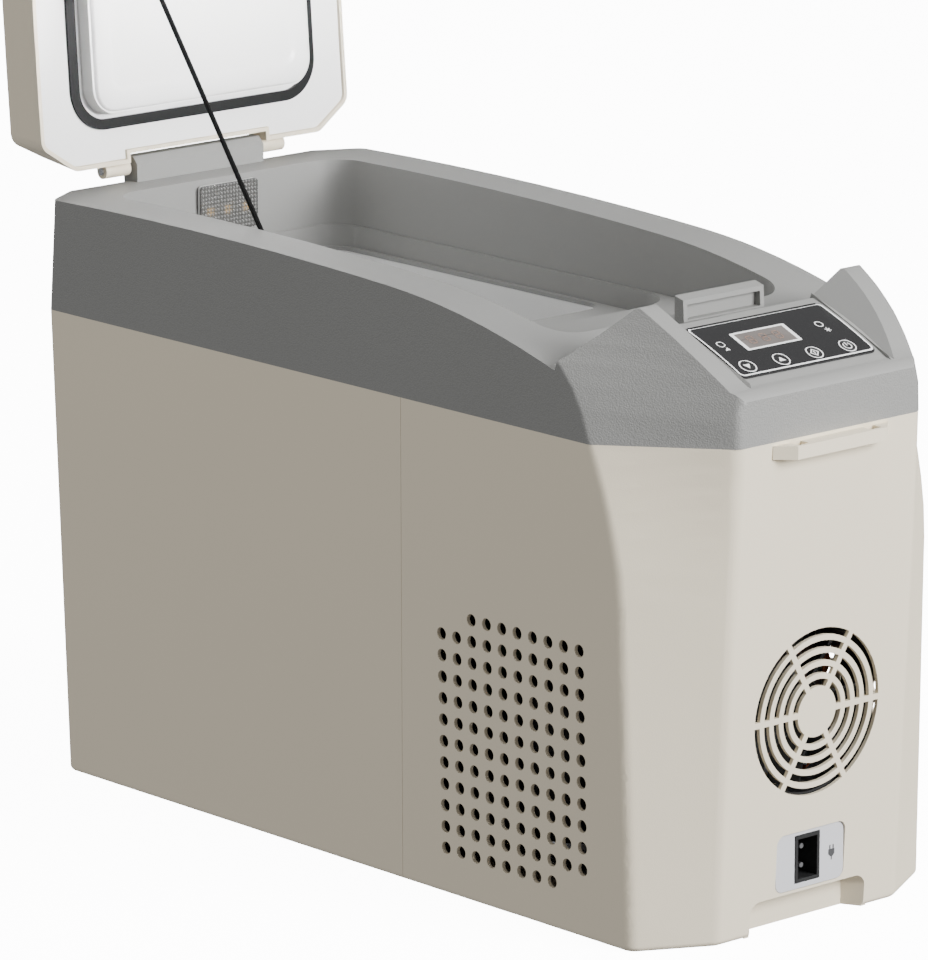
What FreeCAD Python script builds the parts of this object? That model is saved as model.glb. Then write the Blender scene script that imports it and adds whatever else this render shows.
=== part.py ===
import FreeCAD, Part
import math
import os

import Sketcher
from FreeCAD import Placement, Rotation, Vector

# Compressor cooler fridge, lid open on its stay cord. Millimetres, +Z up, +X towards the control panel.
# The origin is on the ground under the middle of the body; -Y and +Y are the long sides.

SIZES = [
    ("seam_height", 310.2, "top of the two body housings, where the collar starts"),
    ("half_width", 132.4, "half width of the body at the seam"),
    ("side_draft", 0.0277, "side wall draft, mm per mm of height"),
    ("front_reach", 299.9, "front face at the seam"),
    ("front_draft", 0.05, "front face draft"),
    ("face_half", 75.6, "half width of the flat front face"),
    ("rear_reach", 298.0, "rear face at the seam"),
    ("rear_chamfer_side", 279.4, "where the rear corner chamfer meets the side"),
    ("rear_chamfer_half", 103.0, "half width of the flat rear face"),
    ("shell_wall", 2.6, "wall of the moulded housings"),
    ("foot_round", 4.0, "rounding of the housing bottom edges"),
    ("crown_height", 384.0, "highest line of the arched collar top"),
    ("crown_place", -170.0, "where that line is"),
    ("arch_width", 8000.0, "parabola width of the arch"),
    ("dip_place", 50.0, "where the arch starts to fall away towards the panel"),
    ("dip_width", 1330.0, "parabola width of that fall"),
    ("opening_rear", -260.0, "rear edge of the tank opening"),
    ("opening_front", 167.0, "front edge of the tank opening"),
    ("opening_half", 98.0, "half width of the tank opening"),
    ("opening_corner", 22.0, "corner radius of the opening"),
    ("shelf_level", 340.0, "upper shelf inside the opening"),
    ("shelf_edge", 72.0, "rear edge of the upper shelf"),
    ("ledge_level", 326.0, "lower shelf, level with the liner's flange"),
    ("tank_front", 8.0, "inner front wall of the deep tank"),
    ("tank_half", 90.0, "inner half width of the deep tank at its top"),
    ("tank_floor", 44.0, "inside of the tank floor"),
    ("liner_wall", 1.8, "wall of the tank liner"),
    ("hinge_back", -293.2, "hinge axis, along X"),
    ("hinge_height", 391.0, "hinge axis, height"),
    ("rod_radius", 2.5, "hinge rod"),
    ("rod_clearance", 0.06, "running clearance of the knuckles on the rod"),
    ("open_angle", 93.8, "lid travel from closed to open, degrees"),
    ("lid_front", 193.0, "front wall of the closed lid"),
    ("lid_rise", 38.0, "height of the closed lid above the collar"),
    ("lid_gap", 0.6, "gap under the closed lid's skirt"),
    ("apex_height", 387.0, "tip of the two ears beside the panel"),
    ("fan_height", 134.5, "height of the fan's axis"),
    ("grille_radius", 52.5, "outer radius of the fan grille"),
    ("vent_pitch", 13.72, "pitch of the side vent holes"),
    ("vent_radius", 4.0, "radius of a side vent hole"),
    ("vent_start", 95.1, "first vent column"),
    ("vent_top", 181.0, "top vent row"),
    ("key_radius", 6.0, "radius of a panel key"),
    ("board_thick", 1.6, "circuit boards"),
    ("cord_radius", 1.6, "lid stay cord"),
    ("foot_radius", 12.0, "rubber foot"),
]

doc = FreeCAD.newDocument("cooler_fridge")
sheet = doc.addObject("Spreadsheet::Sheet", "Sizes")
for row, (alias, value, meaning) in enumerate(SIZES, start=1):
    sheet.set(f"A{row}", meaning)
    sheet.set(f"B{row}", str(value))
    sheet.setAlias(f"B{row}", alias)
doc.recompute()


def size(name):
    """The value of a cell of the sheet."""
    return float(sheet.get(name))


PARTS = []


def keep(obj, label):
    """Labels a finished sub-part and lists it for export."""
    obj.Label = label
    PARTS.append(obj)
    return obj


def bind(obj, **expressions):
    """Binds an object's sizes to the sheet."""
    for name, expression in expressions.items():
        obj.setExpression(name, str(expression))
    return obj


def feature(label, shape):
    """A sub-part whose shape has no simpler recipe."""
    return keep(solid_feature(label + "_shape", shape), label)


def solid_feature(name, shape):
    obj = doc.addObject("Part::Feature", name)
    obj.Shape = shape
    return obj


def mirror_y(shape):
    return shape.mirror(Vector(0, 0, 0), Vector(0, 1, 0))


def both_sides(shape):
    """The shape and its mirror image in the long middle plane."""
    return shape.fuse(mirror_y(shape))


def block(x0, x1, y0, y1, z0, z1):
    return Part.makeBox(x1 - x0, y1 - y0, z1 - z0, Vector(x0, y0, z0))


def rod(radius, start, end):
    """A round bar between two points."""
    a = Vector(*start)
    run = Vector(*end) - a
    return Part.makeCylinder(radius, run.Length, a, run)


# ---------------------------------------------------------------- outlines and lofts


def round_wire(points, radii):
    """A closed wire through the points, each corner rounded by its own tangent arc."""
    edges = []
    count = len(points)
    ends = []
    for i, corner in enumerate(points):
        before = (points[i - 1] - corner).normalize()
        after = (points[(i + 1) % count] - corner).normalize()
        half = before.getAngle(after) / 2
        reach = radii[i] / math.tan(half)
        middle = (before + after).normalize() * (radii[i] / math.sin(half) - radii[i])
        ends.append((corner + before * reach, corner + middle, corner + after * reach))
    for i, (start, mid, end) in enumerate(ends):
        edges.append(Part.Arc(start, mid, end).toShape())
        edges.append(Part.LineSegment(end, ends[(i + 1) % count][0]).toShape())
    return Part.Wire(edges)


def offset_outline(points, inset):
    """Moves each side of a convex outline, listed anticlockwise, inwards."""
    count = len(points)
    lines = []
    for i, a in enumerate(points):
        b = points[(i + 1) % count]
        along = (b - a).normalize()
        inward = Vector(-along.y, along.x, 0)
        lines.append((a + inward * inset, along))
    moved = []
    for i, (p, u) in enumerate(lines):
        q, v = lines[i - 1]
        cross = u.x * v.y - u.y * v.x
        gap = q - p
        moved.append(p + u * ((gap.x * v.y - gap.y * v.x) / cross))
    return moved


def loft(sections):
    return Part.makeLoft(sections, True, True)


def rounded_box(x0, x1, half, z0, z1, corner, draft=0.0, front_corner=None):
    """An upright prism with rounded corners; the draft narrows its lower end."""
    front = corner if front_corner is None else front_corner
    wires = []
    for level, narrow in ((z0, draft), (z1, 0.0)):
        points = [
            Vector(x0 + narrow, -half + narrow, level),
            Vector(x1 - narrow, -half + narrow, level),
            Vector(x1 - narrow, half - narrow, level),
            Vector(x0 + narrow, half - narrow, level),
        ]
        wires.append(round_wire(points, [corner, front, front, corner]))
    return loft(wires)


# ---------------------------------------------------------------- outer form

FACET_FOOT = 258.4
FACET_LEAN = 0.0195
WAIST = 215.0
CORNER_RADII = (10.0, 14.0, 14.0, 10.0, 9.0, 9.0, 9.0, 9.0)


def facet_side(level):
    """Where the front corner facet meets the long side at a height."""
    seam = size("seam_height")
    if level <= WAIST:
        return FACET_FOOT - FACET_LEAN * level
    if level <= seam:
        return FACET_FOOT - FACET_LEAN * WAIST - 13.8 * ((level - WAIST) / 69.0) ** 1.7
    rise = level - seam
    return 230.4 - 0.36 * rise - 0.000125 * rise**3


def face_side(level):
    """Half width of the front face at a height; the ears' facets turn inwards above it."""
    return size("face_half") - 0.225 * max(level - 328.0, 0.0)


def body_outline(level):
    """The eight corners of the body and collar at a height, anticlockwise from the near front facet."""
    below = size("seam_height") - level
    side = size("half_width") - (below if below > 0 else -0.25 * below) * size("side_draft")
    front = size("front_reach") - (below if below > 0 else -0.5 * below) * size("front_draft")
    rear = -size("rear_reach") + (0.004 * below if below > 0 else -0.08 * below)
    chamfer = -size("rear_chamfer_side") + (0.012 * below if below > 0 else -0.07 * below)
    facet = facet_side(level)
    face = face_side(level)
    rear_half = size("rear_chamfer_half") - max(below, 0) * 0.02
    return [
        Vector(facet, -side, level),
        Vector(front, -face, level),
        Vector(front, face, level),
        Vector(facet, side, level),
        Vector(chamfer, side, level),
        Vector(rear, rear_half, level),
        Vector(rear, -rear_half, level),
        Vector(chamfer, -side, level),
    ]


def body_wire(level, inset):
    points = offset_outline(body_outline(level), inset)
    return round_wire(points, [max(r - inset, 2.0) for r in CORNER_RADII])


def body_solid(levels, inset):
    return loft([body_wire(level, inset) for level in levels])


def arch_height(x):
    """Height of the collar's arched top."""
    ahead = x - size("crown_place")
    dip = max(x - size("dip_place"), 0.0)
    return size("crown_height") - ahead * ahead / size("arch_width") - dip * dip / size("dip_width")


def arch_edge(x0, x1, lift):
    """The arched line between two stations, as one curve."""
    count = 15
    points = []
    for i in range(count):
        x = x0 + (x1 - x0) * i / (count - 1)
        points.append(Vector(x, 0, arch_height(x) + lift))
    curve = Part.BSplineCurve()
    curve.interpolate(points)
    return curve.toShape(), points[0], points[-1]


def under_arch(x0, x1, half, floor, lift):
    """Everything below the arched top raised by lift, down to a floor."""
    edge, start, end = arch_edge(x0, x1, lift)
    corners = [end, Vector(x1, 0, floor), Vector(x0, 0, floor), start]
    lines = [Part.LineSegment(a, b).toShape() for a, b in zip(corners, corners[1:])]
    face = Part.Face(Part.Wire([edge] + lines))
    solid = face.extrude(Vector(0, 2 * half, 0))
    solid.translate(Vector(0, -half, 0))
    return solid


def profile_solid(points, y0, y1):
    """A closed outline in the X-Z plane, drawn out along Y."""
    corners = [Vector(x, y0, z) for x, z in points]
    face = Part.Face(Part.makePolygon(corners + corners[:1]))
    return face.extrude(Vector(0, y1 - y0, 0))


# ---------------------------------------------------------------- body housings

JOINT_FOOT = 53.6
JOINT_HEAD = 62.8


def joint_cutter(front):
    """Everything ahead of, or behind, the leaning joint between the two housings."""
    far = 400.0 if front else -400.0
    gap = 0.15 if front else -0.15
    points = [
        (JOINT_FOOT + gap, -5.0),
        (far, -5.0),
        (far, 330.0),
        (JOINT_HEAD + gap, 330.0),
    ]
    return profile_solid(points, -200.0, 200.0)


BODY_LEVELS = (0.0, 215.0, 235.0, 253.0, 270.0, 284.0, 297.0, 310.2)
FOOT_PLACES = [(x, y) for x in (-235.0, 225.0) for y in (-88.0, 88.0)]
SCREW_PLACES = [(x, y) for x in (-150.0, -30.0, 90.0, 200.0) for y in (-100.0, 100.0)]


def housing_shell():
    wall = size("shell_wall")
    outer = body_solid(BODY_LEVELS, 0.0)
    foot_edges = [e for e in outer.Edges if e.BoundBox.ZMax < 0.01]
    outer = outer.makeFillet(size("foot_round"), foot_edges)
    inner_levels = (wall,) + BODY_LEVELS[1:-1] + (size("seam_height") + 1.0,)
    inner = body_solid(inner_levels, wall)
    shell = outer.cut(inner)
    holes = [rod(4.0, (x, y, -1), (x, y, 9)) for x, y in FOOT_PLACES]
    holes += [rod(size("foot_radius") + 0.3, (x, y, -1), (x, y, 1.6)) for x, y in FOOT_PLACES]
    holes += [rod(2.1, (x, y, -1), (x, y, 9)) for x, y in SCREW_PLACES]
    return shell.cut(Part.makeCompound(holes))


def vent_holes():
    """The round holes through both long sides of the machine bay, with the two short rows at its ends."""
    pitch = size("vent_pitch")
    holes = []
    for row in range(12):
        first = 2 if row == 0 else 0
        last = 8 if row == 11 else 10
        for column in range(first, last):
            x = size("vent_start") + column * pitch
            z = size("vent_top") - row * pitch
            holes.append(rod(size("vent_radius"), (x, -140, z), (x, 140, z)))
    return Part.makeCompound(holes)


SLOT_RINGS = 5
RING_PITCH = 8.0
SLOT_WIDTH = 4.4
SPOKE_WIDTH = 3.8


def grille_slots():
    """Five rings of slots divided by six spokes, cut along X."""
    height = size("fan_height")
    rings = []
    for ring in range(SLOT_RINGS):
        outer = size("grille_radius") - ring * RING_PITCH
        disc = rod(outer, (270, 0, height), (310, 0, height))
        rings.append(disc.cut(rod(outer - SLOT_WIDTH, (269, 0, height), (311, 0, height))))
    slots = Part.makeCompound(rings)
    spokes = []
    for turn in range(3):
        bar = block(265, 315, -70, 70, height - SPOKE_WIDTH / 2, height + SPOKE_WIDTH / 2)
        bar.rotate(Vector(0, 0, height), Vector(1, 0, 0), 60 * turn)
        spokes.append(bar)
    return slots.cut(Part.makeCompound(spokes))


def front_bar():
    """The strap ledge under the collar, with bevelled ends."""
    top = 308.2
    points = [
        Vector(296.5, -48.5, 300.0),
        Vector(300.2, -48.5, 300.0),
        Vector(310.3, -37.5, 300.0),
        Vector(310.3, 37.5, 300.0),
        Vector(300.2, 48.5, 300.0),
        Vector(296.5, 48.5, 300.0),
    ]
    bar = Part.Face(Part.makePolygon(points + points[:1])).extrude(Vector(0, 0, top - 300.0))
    pockets = [block(300.6, 307.8, y, y + 9, 302.2, top + 1) for y in (-35.0, 26.0)]
    return bar.cut(Part.makeCompound(pockets))


def grip_notch():
    """The finger notch under the front face."""
    corners = [
        Vector(271.5, -42.0, -1.0),
        Vector(271.5, 42.0, -1.0),
        Vector(292.0, 52.6, -1.0),
        Vector(292.0, -52.6, -1.0),
    ]
    prism = Part.Face(Part.makePolygon(corners + corners[:1])).extrude(Vector(0, 0, 22.5))
    edges = [e for e in prism.Edges if abs(e.BoundBox.ZMax - e.BoundBox.ZMin) < 0.1]
    upper = [e for e in edges if e.BoundBox.ZMin > 20 and e.BoundBox.XLength > 10]
    return prism.makeFillet(8.0, upper)


def notch_lining():
    """The wall that closes the housing behind and beside the finger notch."""
    outer = [
        Vector(268.9, -45.0, 0.0),
        Vector(268.9, 45.0, 0.0),
        Vector(290.0, 55.6, 0.0),
        Vector(290.0, -55.6, 0.0),
    ]
    prism = Part.Face(Part.makePolygon(outer + outer[:1])).extrude(Vector(0, 0, 24.3))
    return prism.common(body_solid(BODY_LEVELS, 1.2))


def front_plane_x(level):
    """Outer surface of the front face at a height."""
    return size("front_reach") - (size("seam_height") - level) * size("front_draft")


def make_housings():
    shell = housing_shell()
    rear = shell.common(joint_cutter(False))
    feature("rear_housing", rear)
    front = shell.common(joint_cutter(True))
    front = front.fuse([front_bar(), notch_lining()])
    front = front.cut(Part.makeCompound([vent_holes(), grille_slots()]))
    front = front.cut(grip_notch())
    plate_x = front_plane_x(42.0)
    recess = rounded_recess(plate_x - 1.6, plate_x + 4, -28.5, 29.8, 23.3, 60.0, 6.0)
    opening = block(plate_x - 9, plate_x + 4, -12.3, 9.3, 26.7, 57.3)
    front = front.cut(recess).cut(opening)
    feature("front_housing", front.removeSplitter())


def rounded_recess(x0, x1, y0, y1, z0, z1, corner):
    """A prism along X with a rounded rectangular section."""
    points = [Vector(x0, y0, z0), Vector(x0, y1, z0), Vector(x0, y1, z1), Vector(x0, y0, z1)]
    wire = round_wire(points, [corner] * 4)
    return Part.Face(wire).extrude(Vector(x1 - x0, 0, 0))


# ---------------------------------------------------------------- collar

COLLAR_LEVELS = (310.2, 328.0, 342.0, 354.0, 366.0, 378.0, 390.0)
PANEL_HEAD = (226.0, 371.0)
PANEL_MIDDLE = (260.5, 357.9)
PANEL_FOOT = (290.0, 343.6)
RECESS_HALF = 60.0


def collar_wire(level, inset):
    points = offset_outline(body_outline(level), inset)
    return round_wire(points, [max(r - inset, 2.0) for r in (6, 9, 9, 6, 9, 9, 9, 9)])


def collar_form(inset, low=0.0):
    """The collar's outer walls up to its tips, moved inwards and, for the hollow, run past its lower edge."""
    levels = (COLLAR_LEVELS[0] - low,) + COLLAR_LEVELS[1:]
    return loft([collar_wire(level, inset) for level in levels])


def recess_edge(lift):
    """The convex line of the panel recess, from its head to its foot."""
    points = [Vector(x, 0, z + lift) for x, z in (PANEL_HEAD, PANEL_MIDDLE, PANEL_FOOT)]
    return Part.Arc(*points).toShape(), points[0], points[2]


def ear_profile():
    """The ears' side profile: steep behind, a flat tip, then a convex fall to the front edge."""
    apex = size("apex_height")
    tip = Vector(231.5, 0, apex)
    nose = Vector(298.0, 0, 338.0)
    ridge = Part.Arc(tip, Vector(265.8, 0, 366.0), nose).toShape()
    corners = [
        nose,
        Vector(302.0, 0, 332.0),
        Vector(302.0, 0, 310.0),
        Vector(190.0, 0, 310.0),
        Vector(190.0, 0, apex),
        tip,
    ]
    lines = [Part.LineSegment(a, b).toShape() for a, b in zip(corners, corners[1:])]
    face = Part.Face(Part.Wire([ridge] + lines))
    return face.extrude(Vector(0, 90.0, 0))


def ear_rear_cut():
    """What the two rear planes of the ears take away, on the +Y side."""
    outside = [
        Vector(202.0, 132.0, 356.0),
        Vector(229.5, 93.5, 387.6),
        Vector(219.5, 93.5, 362.0),
    ]
    normal = (outside[1] - outside[0]).cross(outside[2] - outside[0]).normalize()
    if normal.x > 0:
        normal = normal * -1
    slab = Part.makeBox(200, 200, 120, Vector(-100, -100, 0))
    slab.Placement = Placement(outside[0], Rotation(Vector(0, 0, 1), normal))
    slab = slab.common(block(100, 300, 93.5, 200, 300, 420))
    inner = profile_solid([(150, 330), (207.0, 330), (229.5, 387.6), (150, 387.6)], 50.0, 93.5)
    return slab.fuse(inner)


def ear_inner_cut():
    """The slope between an ear's tip and the panel recess, on the +Y side."""
    start = Vector(200.0, RECESS_HALF, 382.0)
    end = Vector(310.0, RECESS_HALF, 335.4)
    rise = 60.0
    corners = [start, start + Vector(0, rise, rise), start + Vector(0, -rise, rise)]
    face = Part.Face(Part.makePolygon(corners + corners[:1]))
    return face.extrude(end - start)


def console():
    """The ramp behind the panel, the recess floor and the front lip between the ears."""
    floor, head, foot = recess_edge(0.0)
    lip = Vector(foot.x, 0, foot.z + 0.6)
    nose_top = Vector(291.6, 0, lip.z - 0.5)
    nose_mid = Vector(297.3, 0, nose_top.z - 2.9)
    nose_low = Vector(300.0, 0, nose_top.z - 8.6)
    corners = [
        nose_low,
        Vector(302.0, 0, nose_low.z - 2.0),
        Vector(302.0, 0, 310.0),
        Vector(187.0, 0, 310.0),
        Vector(187.0, 0, arch_height(187.0) - 0.3),
        head,
    ]
    lines = [Part.LineSegment(a, b).toShape() for a, b in zip(corners, corners[1:])]
    front = [
        Part.LineSegment(foot, lip).toShape(),
        Part.LineSegment(lip, nose_top).toShape(),
        Part.Arc(nose_top, nose_mid, nose_low).toShape(),
    ]
    face = Part.Face(Part.Wire([floor] + front + lines))
    solid = face.extrude(Vector(0, 2 * 90.0, 0))
    solid.translate(Vector(0, -90.0, 0))
    return solid


def collar_blank(inset, lift):
    """The collar's outer form with its arched top, ears and console, without the opening."""
    form = collar_form(inset)
    arched = form.common(under_arch(-320, 240, 200, 300, lift))
    ears = ear_profile()
    ears.translate(Vector(0, 58.0, 0))
    ears = ears.cut(ear_rear_cut()).cut(ear_inner_cut())
    ears = both_sides(ears).common(form)
    middle = console().common(form)
    return arched.fuse([ears, middle])


def hinge_block():
    """The upstand at the rear that carries the hinge rod."""
    back, height = size("hinge_back"), size("hinge_height")
    points = [
        (-284.0, 374.0),
        (-284.0, 394.0),
        (-288.5, 398.8),
        (-296.5, 398.8),
        (-299.0, 395.0),
        (-297.0, 374.0),
    ]
    solid = profile_solid(points, -53.8, 53.8)
    return solid.cut(rod(size("rod_radius"), (back, -70, height), (back, 70, height)))


def opening_solids():
    """The stepped hollow inside the collar: wide mouth, shelf pocket and tank mouth."""
    rear, front = size("opening_rear"), size("opening_front")
    half, corner = size("opening_half"), size("opening_corner")
    shelf, ledge = size("shelf_level"), size("ledge_level")
    mouth = rounded_box(rear, front, half, shelf, 400.0, corner, 1.5)
    pocket = rounded_box(rear + 3.5, size("shelf_edge"), half - 3.5, ledge, shelf + 0.01, 19.0, 1.0, 32.0)
    tank = rounded_box(rear + 6.0, size("tank_front"), size("tank_half"), 300.0, ledge + 0.01, 16.0, 0.5)
    return [mouth, pocket, tank]


def inner_skin():
    """The same hollow grown by the moulding's wall, which stays solid inside the collar."""
    grow = 2.6
    rear, front = size("opening_rear") - grow, size("opening_front") + grow
    half, corner = size("opening_half") + grow, size("opening_corner") + grow
    shelf, ledge = size("shelf_level") - grow, size("ledge_level") - grow
    mouth = rounded_box(rear, front, half, shelf, 400.0, corner, 1.5)
    edge = size("shelf_edge") + grow
    pocket = rounded_box(rear + 3.5, edge, half - 3.5, ledge, shelf + 3, 19.0 + grow, 1.0, 34.0)
    return mouth.fuse(pocket)


def make_collar():
    blank = collar_blank(0.0, 0.0).fuse(hinge_block())
    hollow = collar_form(3.0, 1.5).common(under_arch(-320, 215, 200, 300, -3.4))
    hollow = hollow.cut(inner_skin())
    panel_bay = console_bay()
    collar = blank.cut(hollow).cut(panel_bay)
    for solid in opening_solids():
        collar = collar.cut(solid)
    feature("collar", collar.removeSplitter())


def console_bay():
    """The space under the control panel for its boards, open downwards."""
    floor, head, foot = recess_edge(-2.4)
    corners = [foot, Vector(foot.x, 0, 305.0), Vector(212.0, 0, 305.0), Vector(212.0, 0, 360.0), head]
    lines = [Part.LineSegment(a, b).toShape() for a, b in zip(corners, corners[1:])]
    bay = Part.Face(Part.Wire([floor] + lines)).extrude(Vector(0, 116.0, 0))
    bay.translate(Vector(0, -58.0, 0))
    wells = []
    for y in KEY_SPOTS:
        wells.append(key_disc(y, size("key_radius") - 1.2, -6.0, 1.0))
    s0, s1 = DISPLAY_SPAN
    wells.append(panel_block(s0 - 1.2, s1 + 1.2, DISPLAY_SIDE[0] - 1.2, DISPLAY_SIDE[1] + 1.2, -6.0, 1.0))
    return bay.fuse(wells)


# ---------------------------------------------------------------- control panel

PANEL_TOP_X = 232.4
PANEL_LOW_X = 283.0
PANEL_SIDES = (-57.2, 54.8)
KEY_SPOTS = (-45.6, -17.7, 10.2, 38.1)
KEY_NAMES = ("key_down", "key_up", "key_mode", "key_power")
KEY_DROP = 45.9
DISPLAY_SPAN = (14.0, 30.0)
DISPLAY_SIDE = (-31.0, 10.0)


def recess_arc():
    return Part.Arc(*[Vector(x, 0, z) for x, z in (PANEL_HEAD, PANEL_MIDDLE, PANEL_FOOT)])


def panel_frame(drop):
    """Point on the recess floor at a distance below the panel's top edge, and the outward normal there."""
    arc = recess_arc()
    start = arc.toShape().Curve.parameter(Vector(PANEL_TOP_X, 0, 368.9))
    curve = arc.toShape().Curve
    parameter = start
    step = drop / curve.Radius
    trial = curve.value(parameter + step)
    if trial.x < PANEL_TOP_X:
        step = -step
    point = curve.value(parameter + step)
    normal = (point - curve.Center).normalize()
    if normal.z < 0:
        normal = normal * -1
    return point, normal


def key_disc(y, radius, low, high):
    """A disc standing on the recess floor at a key's place, between two heights along its normal."""
    point, normal = panel_frame(KEY_DROP)
    base = point + normal * low + Vector(0, y, 0)
    return Part.makeCylinder(radius, high - low, base, normal)


def panel_block(s0, s1, y0, y1, low, high):
    """A block in the panel's own frame."""
    point, normal = panel_frame((s0 + s1) / 2)
    down = Vector(normal.z, 0, -normal.x)
    solid = Part.makeBox(s1 - s0, y1 - y0, high - low, Vector(-(s1 - s0) / 2, y0, low))
    solid.Placement = Placement(point, Rotation(down, Vector(0, 1, 0), normal, "XYZ"))
    return solid


def make_panel():
    arc = recess_arc()
    low = arc.toShape()
    curve = low.Curve
    sheet_thick = 0.9
    start, _ = panel_frame(0.0)
    end, _ = panel_frame(55.4)
    lower = [start, panel_frame(27.7)[0], end]
    upper = [p + (p - curve.Center).normalize() * sheet_thick for p in lower]
    edges = [
        Part.Arc(*lower).toShape(),
        Part.LineSegment(lower[2], upper[2]).toShape(),
        Part.Arc(upper[2], upper[1], upper[0]).toShape(),
        Part.LineSegment(upper[0], lower[0]).toShape(),
    ]
    overlay = Part.Face(Part.Wire(edges)).extrude(Vector(0, PANEL_SIDES[1] - PANEL_SIDES[0], 0))
    overlay.translate(Vector(0, PANEL_SIDES[0], 0))
    corners = [e for e in overlay.Edges if e.Length < 1.0]
    overlay = overlay.makeFillet(3.5, corners)
    holes = [key_disc(y, size("key_radius") + 0.25, -2.0, 3.0) for y in KEY_SPOTS]
    overlay = overlay.cut(Part.makeCompound(holes))
    feature("panel_overlay", overlay)
    for name, y in zip(KEY_NAMES, KEY_SPOTS):
        cap = key_disc(y, size("key_radius"), 0.45, 1.0)
        stem = key_disc(y, 2.0, -2.6, 0.5)
        feature(name, cap.fuse(stem))
    s0, s1 = DISPLAY_SPAN
    feature("display_module", panel_block(s0, s1, *DISPLAY_SIDE, -5.8, -0.2))
    board = panel_block(6.0, 54.0, -50.0, 50.0, -8.4, -6.8)
    feature("control_board", board)
    switches = []
    for y in KEY_SPOTS:
        switches.append(key_disc(y, 3.0, -5.6, -3.3))
    feature("key_switches", Part.makeCompound(switches))


# ---------------------------------------------------------------- latch keeper and lamp


def make_keeper():
    """A hoop behind the panel that the lid's catch hooks into from the front."""
    points = [(199.8, 363.4), (199.8, 381.4), (207.2, 379.4), (208.0, 366.0)]
    hoop = profile_solid(points, -33.8, 33.8)
    hollow = block(203.0, 215.0, -30.6, 30.6, 367.2, 376.4)
    ramp = console().common(block(180, 240, -60, 60, 300, 400))
    hoop = hoop.cut(hollow).cut(ramp)
    feature("latch_keeper", max(hoop.Solids, key=lambda s: s.Volume))


LAMP_HALF = 24.2
LAMP_LOW = 347.5
LAMP_HIGH = 379.4


def make_lamp():
    wall = size("opening_rear") + 1.6
    case = rounded_recess(wall, wall + 1.8, -LAMP_HALF, LAMP_HALF, LAMP_LOW, LAMP_HIGH, 2.5)
    well_half = LAMP_HALF - 1.4
    well = rounded_recess(wall + 0.8, wall + 2.5, -well_half, well_half, LAMP_LOW + 1.4, LAMP_HIGH - 1.4, 1.5)
    feature("lamp_base", case.cut(well))
    lens = rounded_recess(wall + 1.8, wall + 3.2, -LAMP_HALF, LAMP_HALF, LAMP_LOW, LAMP_HIGH, 2.5)
    feature("lamp_lens", lens)
    leds = [block(wall + 0.8, wall + 1.5, y - 2.5, y + 2.5, 359.0, 364.0) for y in (-15.0, 0.0, 15.0)]
    feature("lamp_diodes", Part.makeCompound(leds))


# ---------------------------------------------------------------- tank and insulation


def make_tank():
    rear, front = size("opening_rear") + 6.0, size("tank_front")
    half, ledge = size("tank_half"), size("ledge_level") - 2.7
    wall, floor = size("liner_wall"), size("tank_floor")
    draft = 6.0
    outer = rounded_box(rear - wall, front + wall, half + wall, floor - wall, ledge, 17.8, draft)
    inner = rounded_box(rear, front, half, floor, ledge + 1, 16.0, draft)
    flange = rounded_box(rear - 10, front + 12, half + 9, ledge - 2.0, ledge, 22.0)
    feature("tank_liner", outer.fuse(flange).cut(inner))
    sleeve = rounded_box(rear - 3.4, front + 3.4, half + 3.4, 80.0, 270.0, 19.4, 0.0)
    sleeve_hole = rounded_box(rear - wall, front + wall, half + wall, 79.0, 271.0, 18.0, 0.0)
    feature("evaporator_plate", sleeve.cut(sleeve_hole))
    gap = size("shell_wall") + 0.3
    outer_foam = body_solid((4.2, 245.0, 306.0), gap)
    outer_foam = outer_foam.common(block(-300, 38.0, -140, 140, 0, 330))
    cavity = rounded_box(rear - 3.6, front + 3.6, half + 3.6, floor - wall - 0.2, 330.0, 19.6, 0.0)
    sensor_slot = block(10, 24, -6, 6, 180, 215)
    feet = Part.makeCompound([rod(6.0, (x, y, 0), (x, y, 12)) for x, y in FOOT_PLACES + SCREW_PLACES])
    feature("foam_insulation", outer_foam.cut(cavity).cut(sensor_slot).cut(feet))
    feature("temperature_sensor", rod(3.0, (17.0, 0, 184.0), (17.0, 0, 210.0)))
    divider = block(40.0, 42.0, -118.0, 118.0, 4.0, 318.0)
    divider = divider.cut(rod(6.5, (30, 60.0, 240.0), (50, 60.0, 240.0)))
    feature("bay_divider", divider)


# ---------------------------------------------------------------- lid, drawn closed and then swung open


def lid_outline(level, inset):
    """The closed lid in plan, narrower towards its top."""
    lean = 0.12 * (level - 370.0)
    side, rear_half = 131.9 - lean, 105.5 - lean
    front, front_half = size("lid_front") - lean, 112.0
    points = [
        Vector(176.0, -side, level),
        Vector(front, -front_half, level),
        Vector(front, front_half, level),
        Vector(176.0, side, level),
        Vector(-272.0 + 0.3 * lean, side, level),
        Vector(-291.0 + 1.2 * lean, rear_half, level),
        Vector(-291.0 + 1.2 * lean, -rear_half, level),
        Vector(-272.0 + 0.3 * lean, -side, level),
    ]
    return round_wire(offset_outline(points, inset), [max(10.0 - inset, 2.0)] * 8)


def lid_prism(inset):
    return loft([lid_outline(345.0, inset), lid_outline(440.0, inset)])


def lid_slab(inset, low, high):
    """The lid's plan between two surfaces parallel to the arched top."""
    above = under_arch(-320, 215, 200, 330, high)
    below = under_arch(-325, 220, 205, 325, low)
    return lid_prism(inset).common(above.cut(below))


def opened(shape):
    """Swings a closed lid's shape about the hinge axis to the open position."""
    axis_point = Vector(size("hinge_back"), 0, size("hinge_height"))
    turned = shape.copy()
    turned.rotate(axis_point, Vector(0, -1, 0), size("open_angle"))
    return turned


HINGE_GAP = block(-320.0, -283.0, -57.8, 57.8, 370.0, 430.0)


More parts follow.
